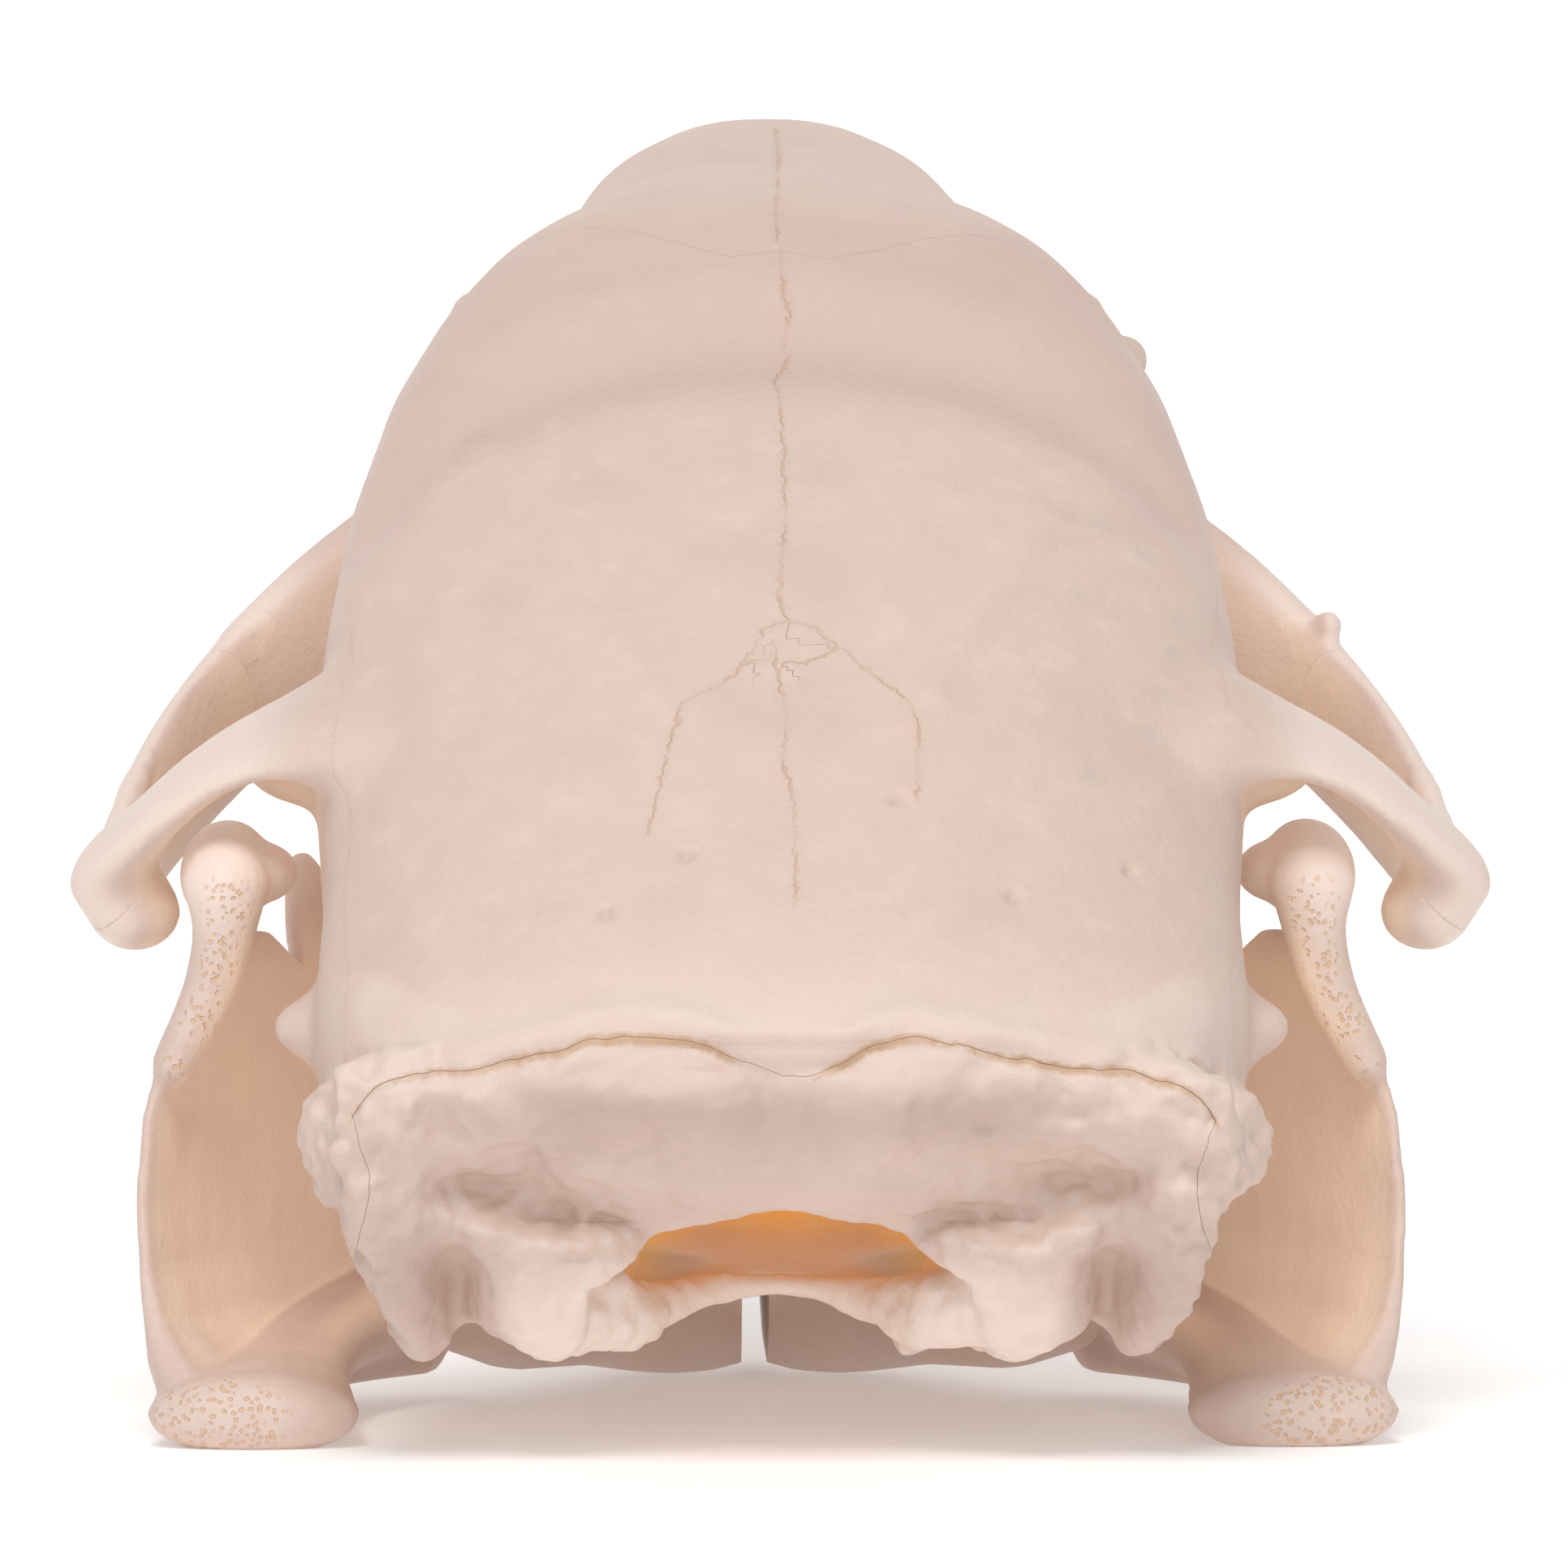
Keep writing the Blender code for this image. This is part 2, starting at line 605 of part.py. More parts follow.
Slice = namedtuple("Slice", "y x z half_width half_height")
JAW_BODY = (
    Slice(36.0, 15.8, 8.4, 2.0, 5.4),
    Slice(43.0, 12.4, 8.0, 4.3, 6.6),
    Slice(50.0, 8.6, 8.2, 6.0, 7.2),
    Slice(55.5, 4.2, 8.4, 8.0, 8.4),
    Slice(62.0, 3.2, 9.7, 7.6, 8.4),
    Slice(70.0, 2.8, 12.4, 6.0, 6.3),
    Slice(77.0, 2.8, 15.2, 4.6, 4.6),
    Slice(81.5, 2.8, 17.0, 3.7, 3.7),
)
Strip = namedtuple("Strip", "z front bend back thick_front thick_back")
RAMUS = (
    Strip(1.2, (17.0, 45.0), (25.0, 38.0), (28.4, 18.0), 4.0, 4.6),
    Strip(3.6, (15.5, 46.0), (26.2, 38.0), (29.5, 18.2), 4.2, 4.0),
    Strip(5.8, (15.0, 46.2), (27.1, 38.0), (30.5, 18.8), 3.4, 2.2),
    Strip(8.5, (14.5, 46.5), (27.4, 38.0), (31.0, 19.6), 3.0, 1.3),
    Strip(12.0, (14.5, 46.5), (27.4, 37.0), (31.2, 21.2), 3.0, 1.2),
    Strip(16.0, (15.5, 46.0), (26.8, 36.0), (30.9, 22.8), 2.6, 1.2),
    Strip(18.5, (18.5, 42.5), (26.2, 35.5), (30.1, 24.0), 2.2, 1.4),
    Strip(21.5, (22.4, 37.5), (26.0, 33.0), (28.7, 25.0), 1.9, 1.8),
    Strip(24.5, (25.4, 33.0), (26.4, 30.0), (27.9, 25.6), 1.6, 2.2),
)
LOWER_TEETH_START = 40.2
LOWER_BITE_BACK = 16.5
LOWER_BITE_SLOPE = math.tan(math.radians(14))
CHIN_SLIT_BACK = 1.3
CHIN_SLIT_FRONT = 0.4


def strip_ring(strip, side, count=12):
    """Long thin ring along a quadratic curve from the front to the back of the ramus."""
    front, bend, back = (Vector((*point, 0)) for point in (strip.front, strip.bend, strip.back))
    outer = []
    inner = []
    for k in range(count + 1):
        t = k / count
        place = front * (1 - t) ** 2 + bend * 2 * t * (1 - t) + back * t * t
        ahead = ((bend - front) * (1 - t) + (back - bend) * t).normalized()
        out = Vector((-ahead.y, ahead.x, 0))
        half = (strip.thick_front * (1 - t) + strip.thick_back * t) / 2
        half *= 0.45 if k in (0, count) else 1.0
        outer.append(place + out * half)
        inner.append(place - out * half)
    ring = outer + inner[::-1]
    return [Vector((side * point.x, point.y, strip.z)) for point in ring]


def ramus(side):
    return loft("ramus", [strip_ring(strip, side) for strip in RAMUS])


def jaw_body(side):
    rings = []
    for stop in JAW_BODY:
        rings.append(oval(Vector((side * stop.x, stop.y, stop.z)), Vector((1, 0, 0)),
                          Vector((0, 0, 1)), stop.half_width, stop.half_height,
                          stop.half_height, 2.4, 2.4, 32))
    return loft("jaw_body", rings)


def jaw_knuckle(side):
    """Condyle with its inner flange, the neck below it and the coronoid point."""
    condyle = ellipsoid("condyle_head", (side * 27.0, 28.8, 27.6), (2.45, 5.0, 2.6), (6, 0, side * 4))
    flange = ellipsoid("condyle_flange", (side * 25.6, 29.4, 27.6), (2.2, 3.6, 1.6))
    neck = tube("neck", on_side(side, [
        (27.0, 25.6, 27.4, 2.7, 2.2), (27.2, 25.3, 24.8, 2.3, 1.8), (28.0, 24.8, 21.8, 1.9, 1.6),
        (29.6, 23.8, 18.4, 1.2, 1.4)]), up=(0, 1, 0))
    coronoid = tube("coronoid", on_side(side, [
        (18.0, 43.8, 12.0, 1.1, 3.6), (20.4, 41.6, 18.5, 1.0, 3.8),
        (22.4, 39.4, 24.0, 0.9, 2.8), (23.4, 38.4, 27.4, 0.7, 1.1)]),
        up=(-0.6 * side, 0.8, 0))
    return [condyle, flange, neck, coronoid]


def jaw_angle(side):
    """Inturned shelf along the bottom of the ramus, ending behind in a blunt porous end."""
    return tube("jaw_angle", on_side(side, [
        (25.6, 17.2, 1.6, 5.3, 2.1), (25.5, 21.0, 1.8, 5.0, 2.2), (24.9, 27.0, 2.4, 4.2, 2.0),
        (22.8, 33.5, 3.6, 3.0, 2.0), (19.0, 40.5, 5.0, 2.6, 2.4)]))


def lower_incisor(side):
    return tube("lower_incisor", on_side(side, [
        (2.7, 76.0, 14.4, 1.9, 2.1), (2.65, 82.4, 17.8, 2.0, 2.2), (2.6, 86.6, 22.6, 2.0, 1.9),
        (2.5, 88.4, 27.6, 1.95, 0.8)]), steps=2, count=10, squareness=3.0)


def lower_cheek_tooth(side, number):
    y = LOWER_TEETH_START + TOOTH_LENGTH * (number + 0.5)
    bite = LOWER_BITE_BACK + LOWER_BITE_SLOPE * (y - LOWER_TEETH_START)
    return cheek_tooth("lower_cheek_tooth", Vector((side * (9.8 - 0.6 * number), y, bite)), -6.0)


def chin_slit(side):
    """Slab on the jaw's middle line, wider behind than in front."""
    rings = []
    for y, width in ((30.0, CHIN_SLIT_BACK * 1.5), (57.0, CHIN_SLIT_BACK), (84.0, CHIN_SLIT_FRONT)):
        corners = [(-20.0, -5.0), (width / 2, -5.0), (width / 2, 40.0), (-20.0, 40.0)]
        rings.append([Vector((side * x, y, z)) for x, z in corners])
    rings.append([Vector((side * x, 100.0, z)) for x, z in
                  [(-20.0, -5.0), (0.2, -5.0), (0.2, 40.0), (-20.0, 40.0)]])
    return loft("chin_slit", rings)


def build_jaw(side, name):
    jaw = jaw_body(side)
    boolean(jaw, [ramus(side), jaw_angle(side)] + jaw_knuckle(side), "UNION")
    remesh(jaw, FINE_VOXEL)
    smooth(jaw, 10)
    decimate(jaw, JAW_TRIANGLES)
    teeth = [lower_cheek_tooth(side, number) for number in range(TOOTH_COUNT)]
    boolean(jaw, teeth + [lower_incisor(side)], "UNION")
    below_floor = box("below_floor", (-60, -20, -20), (60, 120, 0))
    boolean(jaw, [below_floor, chin_slit(side)], "DIFFERENCE")
    jaw.name = name
    return jaw


def bone_material(name):
    material = bpy.data.materials.new(name)
    material.use_nodes = True
    shader = material.node_tree.nodes["Principled BSDF"]
    shader.inputs["Base Color"].default_value = BONE_COLOUR
    shader.inputs["Roughness"].default_value = BONE_ROUGHNESS
    shader.inputs["Metallic"].default_value = 0.0
    return material


def frame(name, location, turn):
    empty = bpy.data.objects.new(name, None)
    bpy.context.scene.collection.objects.link(empty)
    empty.location = Vector(location) * MM
    empty.rotation_euler = turn
    return empty


def finish_node(item, parent):
    item.parent = parent
    item.data.materials.clear()
    item.data.materials.append(bone_material(item.name + "_bone"))
    item.data.shade_smooth()


def main():
    clear_scene()
    whole = build_cranium()
    bones = []
    for side, word in ((-1, "left"), (1, "right")):
        bones.append(part_off(whole, "jugal_" + word, jugal_region, side))
        bones.append(part_off(whole, "bulla_" + word, ear_region, side))
    bones.append(part_off(whole, "occipital", occipital_region, 1))
    bones.append(part_off(whole, "rostrum", rostrum_region, 1))
    whole.name = "braincase"
    bones.append(whole)
    jaws = [build_jaw(-1, "mandible_left"), build_jaw(1, "mandible_right")]
    cranium_frame = frame("cranium_frame", (-SKULL_MIDDLE_X, -SKULL_MIDDLE_Y, CREST_HEIGHT),
                          (CRANIUM_PITCH, 0, CRANIUM_YAW))
    jaw_frame = frame("jaw_frame", (-SKULL_MIDDLE_X, -SKULL_MIDDLE_Y, 0), (0, 0, JAW_YAW))
    for bone in bones:
        finish_node(bone, cranium_frame)
    for jaw in jaws:
        finish_node(jaw, jaw_frame)


main()
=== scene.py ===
"""Looks of the porcupine skull: each bone in full detail, teeth, materials, light, camera.

Lengths are in millimetres up to where a mesh is made. The cranium is modelled in its own
frame: the origin is the middle of the nuchal crest, X to the animal's right, Y along the
palate to the nose, Z up from the palate. The lower jaw is modelled in the floor's frame,
with Y measured from below the nuchal crest.
"""

import math
from collections import namedtuple

import bmesh
import bpy
import numpy as np
from mathutils import Euler, Matrix, Vector, noise
from mathutils.bvhtree import BVHTree


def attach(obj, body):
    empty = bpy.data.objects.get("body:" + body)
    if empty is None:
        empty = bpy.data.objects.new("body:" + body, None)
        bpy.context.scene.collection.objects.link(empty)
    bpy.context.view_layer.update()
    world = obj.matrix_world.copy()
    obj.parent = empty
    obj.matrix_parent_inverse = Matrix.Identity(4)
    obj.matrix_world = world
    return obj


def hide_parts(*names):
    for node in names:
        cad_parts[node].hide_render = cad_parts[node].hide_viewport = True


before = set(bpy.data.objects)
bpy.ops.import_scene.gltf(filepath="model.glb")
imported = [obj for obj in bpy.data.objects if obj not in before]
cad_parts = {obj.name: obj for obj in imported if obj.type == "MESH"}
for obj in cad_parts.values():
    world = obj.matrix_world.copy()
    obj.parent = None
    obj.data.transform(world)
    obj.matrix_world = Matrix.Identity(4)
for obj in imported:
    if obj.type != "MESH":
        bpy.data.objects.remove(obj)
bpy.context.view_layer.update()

# Driving dimensions, the same as in the solids
MM = 0.001
GAP = 0.02
CRANIUM_PITCH = math.radians(25)
PITCH_SINE = math.sin(CRANIUM_PITCH)
PITCH_COSINE = math.cos(CRANIUM_PITCH)
CRANIUM_YAW = math.radians(0.35)
JAW_YAW = math.radians(1.6)
CREST_HEIGHT = 20.3
SNOUT_BEND = 0.5
SKULL_MIDDLE_Y = 46.2
SKULL_MIDDLE_X = -0.2

# Fineness of the surfaces
CORE_VOXEL = 0.5
FINE_VOXEL = 0.28
CORE_TURNS = 20
SHARP_ANGLE = math.radians(50)
FINE_TURNS = 10

RIGHT = Vector((1, 0, 0))
AHEAD = Vector((0, 1, 0))
UP = Vector((0, 0, 1))


# Blender helpers

def new_object(name, data):
    item = bpy.data.objects.new(name, data)
    bpy.context.scene.collection.objects.link(item)
    return item


def add_object(name, bm):
    bmesh.ops.recalc_face_normals(bm, faces=bm.faces)
    bmesh.ops.scale(bm, vec=(MM, MM, MM), verts=bm.verts)
    mesh = bpy.data.meshes.new(name)
    bm.to_mesh(mesh)
    bm.free()
    return new_object(name, mesh)


def bake_modifiers(item):
    graph = bpy.context.evaluated_depsgraph_get()
    baked = bpy.data.meshes.new_from_object(item.evaluated_get(graph))
    item.modifiers.clear()
    item.data = baked


def boolean(item, others, operation):
    """One Boolean on a collection of closed pieces, which are then removed."""
    group = bpy.data.collections.new(operation.lower() + "_pieces")
    bpy.context.scene.collection.children.link(group)
    for other in others:
        group.objects.link(other)
    step = item.modifiers.new(operation.lower(), "BOOLEAN")
    step.operation = operation
    step.operand_type = "COLLECTION"
    step.collection = group
    step.solver = "MANIFOLD"
    bake_modifiers(item)
    for other in others:
        bpy.data.objects.remove(other, do_unlink=True)
    bpy.data.collections.remove(group)
    return item


def edge_ends(mesh):
    ends = np.empty(len(mesh.edges) * 2, np.int32)
    mesh.edges.foreach_get("vertices", ends)
    return ends.reshape(-1, 2).T


def keep_largest(item):
    """Drops all but the largest closed surface."""
    mesh = item.data
    first, second = edge_ends(mesh)
    label = np.arange(len(mesh.vertices))
    while True:
        before = label.copy()
        low = np.minimum(label[first], label[second])
        np.minimum.at(label, first, low)
        np.minimum.at(label, second, low)
        label = label[label]
        if (label == before).all():
            break
    sizes = np.bincount(label)
    if np.count_nonzero(sizes) == 1:
        return
    spare = np.flatnonzero(label != sizes.argmax())
    bm = bmesh.new()
    bm.from_mesh(mesh)
    bm.verts.ensure_lookup_table()
    bmesh.ops.delete(bm, geom=[bm.verts[k] for k in spare], context="VERTS")
    bm.to_mesh(mesh)
    bm.free()


def remesh(item, voxel):
    step = item.modifiers.new("remesh", "REMESH")
    step.mode = "VOXEL"
    step.voxel_size = voxel * MM
    bake_modifiers(item)
    keep_largest(item)


def smooth(item, turns):
    step = item.modifiers.new("smooth", "SMOOTH")
    step.factor = 0.5
    step.iterations = turns
    bake_modifiers(item)


# Shapes

def loft(name, rings):
    """Closed body through rings of equally many points, with a fan at each end."""
    bm = bmesh.new()
    rows = [[bm.verts.new(point) for point in ring] for ring in rings]
    count = len(rows[0])
    for low, high in zip(rows, rows[1:]):
        for k in range(count):
            n = (k + 1) % count
            bm.faces.new((low[k], low[n], high[n], high[k]))
    for row in (rows[0], rows[-1]):
        middle = bm.verts.new(sum((vert.co for vert in row), Vector()) / count)
        for k in range(count):
            bm.faces.new((row[k], row[(k + 1) % count], middle))
    return add_object(name, bm)


def signed_power(value, power):
    return math.copysign(abs(value) ** power, value)


def oval(centre, side, up, half_width, rise, drop, n_top=2.0, n_bottom=2.0, count=40):
    """Ring of a superellipse with its own rise, drop and squareness above and below."""
    ring = []
    for k in range(count):
        angle = 2 * math.pi * k / count
        upper = math.sin(angle) >= 0
        power = 2.0 / (n_top if upper else n_bottom)
        across = half_width * signed_power(math.cos(angle), power)
        height = (rise if upper else drop) * signed_power(math.sin(angle), power)
        ring.append(centre + side * across + up * height)
    return ring


def curve_points(points, steps):
    """Points of a Catmull-Rom curve through points of any dimension."""
    full = [2 * points[0] - points[1]] + list(points) + [2 * points[-1] - points[-2]]
    out = []
    for a, b, c, d in zip(full, full[1:], full[2:], full[3:]):
        for k in range(steps):
            t = k / steps
            out.append(0.5 * (2 * b + (c - a) * t + (2 * a - 5 * b + 4 * c - d) * t * t
                              + (3 * b - a - 3 * c + d) * t ** 3))
    out.append(points[-1])
    return out


# Round end of a bar: how far ahead, and share of its size
ROUND_END = ((0.3, 0.95), (0.7, 0.72), (0.95, 0.35))


def tube(name, route, up=(0, 0, 1), steps=4, count=16, squareness=2.0):
    """Tapered bar with round ends along route: (x, y, z, half width, half height)."""
    places = curve_points([Vector(stop[:3]) for stop in route], steps)
    sizes = curve_points([Vector((stop[3], stop[4], 0)) for stop in route], steps)
    up = Vector(up)
    stops = list(zip(places, sizes))
    rings = []
    last = len(stops) - 1
    for k, (place, size) in enumerate(stops):
        ahead = places[min(k + 1, last)] - places[max(k - 1, 0)]
        ahead.normalize()
        side = ahead.cross(up).normalized()
        top = side.cross(ahead).normalized()
        cuts = [(0.0, 1.0)]
        if k == 0:
            cuts = [(-shift, share) for shift, share in reversed(ROUND_END)] + cuts
        if k == last:
            cuts += ROUND_END
        for shift, share in cuts:
            centre = place + ahead * (min(size.x, size.y) * shift)
            rings.append(oval(centre, side, top, size.x * share, size.y * share,
                              size.y * share, squareness, squareness, count))
    return loft(name, rings)


def ellipsoid(name, centre, radii, turn=(0, 0, 0), fineness=4):
    bm = bmesh.new()
    bmesh.ops.create_icosphere(bm, subdivisions=fineness, radius=1.0)
    angles = Euler([math.radians(angle) for angle in turn])
    place = Matrix.Translation(Vector(centre)) @ angles.to_matrix().to_4x4()
    place = place @ Matrix.Diagonal((*radii, 1.0))
    bmesh.ops.transform(bm, matrix=place, verts=bm.verts)
    return add_object(name, bm)


def prism(name, outline, reach, shift, steps=32):
    """Outline in the YZ plane, drawn out along X to reach on both sides. shift(x) moves it in Y."""
    rings = []
    for k in range(steps + 1):
        x = reach * (2 * k / steps - 1)
        rings.append([Vector((x, y + shift(x), z)) for y, z in outline])
    return loft(name, rings)


def box(name, low, high):
    bm = bmesh.new()
    bmesh.ops.create_cube(bm, size=1.0)
    size = Vector(high) - Vector(low)
    middle = (Vector(high) + Vector(low)) / 2
    place = Matrix.Translation(middle) @ Matrix.Diagonal((*size, 1.0))
    bmesh.ops.transform(bm, matrix=place, verts=bm.verts)
    return add_object(name, bm)


def interpolate(value, stops):
    """Value at a position, from stops of (position, value) in rising order."""
    for (low, first), (high, second) in zip(stops, stops[1:]):
        if value < high:
            share = max(0.0, (value - low) / (high - low))
            return first + (second - first) * share
    return stops[-1][1]


def sheet(name, columns):
    """Closed body between two grids. Each column holds (outer point, inner point) pairs."""
    bm = bmesh.new()
    grids = []
    for face in (0, 1):
        grids.append([[bm.verts.new(pair[face]) for pair in column] for column in columns])
    outer, inner = grids
    last_column = len(columns) - 1
    last_row = len(columns[0]) - 1
    for i in range(last_column):
        for k in range(last_row):
            for grid in grids:
                bm.faces.new((grid[i][k], grid[i + 1][k], grid[i + 1][k + 1], grid[i][k + 1]))
        for k in (0, last_row):
            bm.faces.new((outer[i][k], outer[i + 1][k], inner[i + 1][k], inner[i][k]))
    for k in range(last_row):
        for i in (0, last_column):
            bm.faces.new((outer[i][k], outer[i][k + 1], inner[i][k + 1], inner[i][k]))
    return add_object(name, bm)


def mirrored(side, point):
    return (side * point[0], *point[1:])


def on_side(side, route):
    return [mirrored(side, stop) for stop in route]


# Cranium, in its own frame

# Cross-sections: y, lean, top, height of the widest place, half width, bottom, squareness
VAULT = (
    (0.6, 32, 0.0, -9.0, 21.4, -21.2, 3.4, 2.8),
    (8.0, 28, 3.8, -7.0, 23.0, -21.6, 2.9, 2.8),
    (18.0, 15, 7.5, -4.0, 22.6, -20.6, 2.5, 2.5),
    (27.0, 6, 10.2, -1.0, 23.1, -18.6, 2.4, 2.2),
    (36.0, 0, 12.4, 2.0, 22.9, -15.0, 2.4, 1.8),
    (44.0, 0, 13.8, 4.5, 21.9, -12.5, 2.5, 1.6),
    (52.0, 0, 15.1, 6.0, 20.1, -12.0, 2.7, 1.6),
    (57.5, 0, 16.1, 7.0, 18.0, -12.0, 2.7, 1.6),
    (61.5, 0, 16.1, 6.5, 16.1, -12.0, 2.9, 1.7),
    (65.0, 0, 15.2, 5.0, 14.4, -12.2, 3.1, 1.8),
    (68.5, 0, 14.1, 2.5, 12.7, -12.3, 3.0, 1.8),
    (76.0, 0, 11.9, 1.0, 11.7, -12.6, 2.8, 1.9),
    (83.0, 0, 9.9, -1.0, 10.8, -13.6, 2.7, 2.1),
    (88.0, 0, 8.3, -2.5, 8.8, -14.0, 2.5, 2.2),
)
UPPER_TEETH_START = 36.0
TOOTH_LENGTH = 6.3
TOOTH_COUNT = 4
UPPER_BITE_BACK = -19.9
UPPER_BITE_SLOPE = math.tan(math.radians(5))


def vault():
    rings = []
    for y, lean, top, wide_at, half_width, bottom, n_top, n_bottom in VAULT:
        lean = math.radians(lean)
        up = Vector((0, -math.sin(lean), math.cos(lean)))
        stretch = 1.0 / math.cos(lean)
        crown = Vector((-SNOUT_BEND * max(0.0, y - 60.0) / 28.0, y, top))
        rise = (top - wide_at) * stretch
        drop = (wide_at - bottom) * stretch
        rings.append(oval(crown - up * rise, RIGHT, up, half_width, rise, drop, n_top, n_bottom, 64))
    return loft("vault", rings)


def maxilla():
    """Block that carries the upper cheek teeth."""
    rings = []
    for y, half_width, low in ((30.0, 9.0, -14.5), (36.0, 12.6, -16.0), (48.0, 12.0, -17.2),
                               (60.0, 10.6, -18.2), (65.0, 8.5, -16.0), (70.0, 6.0, -13.5)):
        rings.append(oval(Vector((0, y, -9.0)), RIGHT, UP, half_width, 5.0, -9.0 - low, 2.2, 3.4))
    return loft("maxilla", rings)


def cheek_arch(side):
    """Bars of one zygomatic arch."""
    squamosal = tube("squamosal_bar", on_side(side, [
        (17.0, 28.0, 3.4, 6.5, 2.6), (22.0, 28.0, 3.2, 5.2, 2.2), (25.2, 28.2, 2.4, 4.0, 1.1),
        (28.0, 28.2, 1.0, 3.2, 1.0), (30.5, 28.2, -1.2, 2.7, 1.3), (32.6, 28.6, -3.8, 2.6, 1.7),
        (33.5, 29.2, -5.8, 2.8, 1.8)]))
    joint_roof = ellipsoid("joint_roof", (side * 23.4, 34.0, -1.0), (4.0, 5.0, 2.2))
    jugal = tube("jugal_bar", on_side(side, [
        (32.1, 28.0, -7.3, 2.5, 2.0), (32.9, 33.0, -8.5, 2.0, 2.7), (32.9, 38.0, -9.4, 1.4, 3.5),
        (31.9, 46.0, -11.1, 1.3, 4.5), (30.1, 53.0, -11.7, 1.4, 4.9), (27.3, 59.0, -11.1, 1.9, 4.8)]))
    upper_root = tube("upper_root", on_side(side, [
        (11.0, 65.5, 3.0, 2.4, 3.0), (17.5, 64.0, -2.2, 1.8, 2.4), (23.5, 61.6, -6.2, 1.8, 2.4),
        (27.3, 58.7, -9.0, 1.8, 2.6)]))
    cheek_plate = tube("cheek_plate", on_side(side, [
        (20.5, 61.6, -11.5, 1.9, 4.6), (24.0, 60.6, -11.0, 1.9, 5.8), (27.2, 58.6, -11.1, 1.9, 5.1)]))
    lower_root = tube("lower_root", on_side(side, [
        (8.0, 61.0, -12.5, 3.4, 2.6), (16.0, 61.0, -14.8, 2.6, 1.9), (22.5, 60.4, -15.0, 2.2, 2.0)]))
    return [squamosal, joint_roof, jugal, upper_root, cheek_plate, lower_root]


def ear_capsule(side, grow=0.0):
    """Bulla and the bony tube of the ear."""
    bulla = ellipsoid("bulla", (side * 13.6, 17.5, -14.2),
                      (6.8 + grow, 10.2 + grow, 7.9 + grow), (0, 0, side * 14), 3)
    ear_tube = tube("ear_tube", on_side(side, [
        (17.0, 19.6, -9.6, 3.4 + grow, 3.4 + grow), (21.0, 18.6, -8.6, 2.9 + grow, 2.9 + grow),
        (23.9, 17.6, -8.0, 1.5 + grow, 1.5 + grow)]), steps=2, count=12)
    return [bulla, ear_tube]


def mastoid(side):
    """Swelling behind the ear."""
    return ellipsoid("mastoid", (side * 20.6, 6.0, -7.9), (2.9, 4.4, 3.2))


# Back of the skull, as seen level from behind: x, height above the floor, depth from the crest

CREST_LINE = ((-21.6, 18.8), (-18.0, 19.9), (-14.9, 20.2), (-12.0, 20.9), (-9.0, 21.7),
              (-6.3, 21.9), (-4.0, 21.5), (-2.1, 20.7), (-0.2, 19.9), (0.6, 19.6), (2.0, 20.0),
              (4.5, 21.5), (7.0, 21.8), (9.6, 21.1), (13.3, 20.3), (17.0, 20.0), (21.6, 18.5))
LOWER_EDGE = ((0.0, 12.5), (1.4, 12.4), (3.7, 11.4), (5.4, 10.5), (7.6, 9.7), (9.4, 8.8),
              (9.9, 5.0), (11.5, 4.8), (13.4, 5.9), (15.0, 6.8), (15.9, 6.3), (16.7, 5.1),
              (17.8, 5.0), (18.9, 6.2), (19.7, 7.8), (20.4, 9.8), (21.0, 12.0), (21.6, 14.4))
DEPTH_MIDDLE = ((11.0, 9.0), (12.6, 5.6), (13.6, 4.2), (15.0, 2.9), (16.5, 1.9), (18.0, 1.2),
                (19.0, 1.2), (20.0, 1.6), (21.0, 2.2), (22.0, 2.8))
DEPTH_CONDYLE = ((4.0, 11.0), (5.5, 8.6), (7.5, 7.0), (9.5, 6.2), (11.0, 6.4), (12.0, 6.6),
                 (13.5, 5.6), (15.0, 4.2), (16.5, 2.8), (18.0, 1.7), (19.0, 1.4), (20.0, 1.7),
                 (21.0, 2.2), (22.0, 2.8))
DEPTH_SIDE = ((4.5, 10.5), (6.0, 8.6), (8.0, 6.8), (11.0, 5.2), (14.0, 3.8), (17.0, 2.4),
              (18.5, 2.0), (20.0, 2.4), (22.0, 3.4))
# Dents and swellings, as x, height, width, height of the patch, depth
BUMPS = (
    (6.6, 18.2, 4.4, 2.0, -0.6), (0.0, 17.6, 1.6, 2.6, 0.5),
    (14.8, 13.9, 3.0, 1.1, 1.7), (9.4, 12.0, 3.6, 0.8, 0.9),
    (14.6, 11.3, 1.9, 0.8, -1.5), (10.6, 10.4, 3.0, 0.9, -0.9),
    (12.0, 8.0, 2.2, 2.4, -1.0),
    (15.7, 8.2, 0.95, 2.9, 3.2), (16.8, 8.6, 1.6, 3.0, 1.6),
    (18.3, 11.0, 1.8, 5.0, -1.0),
)
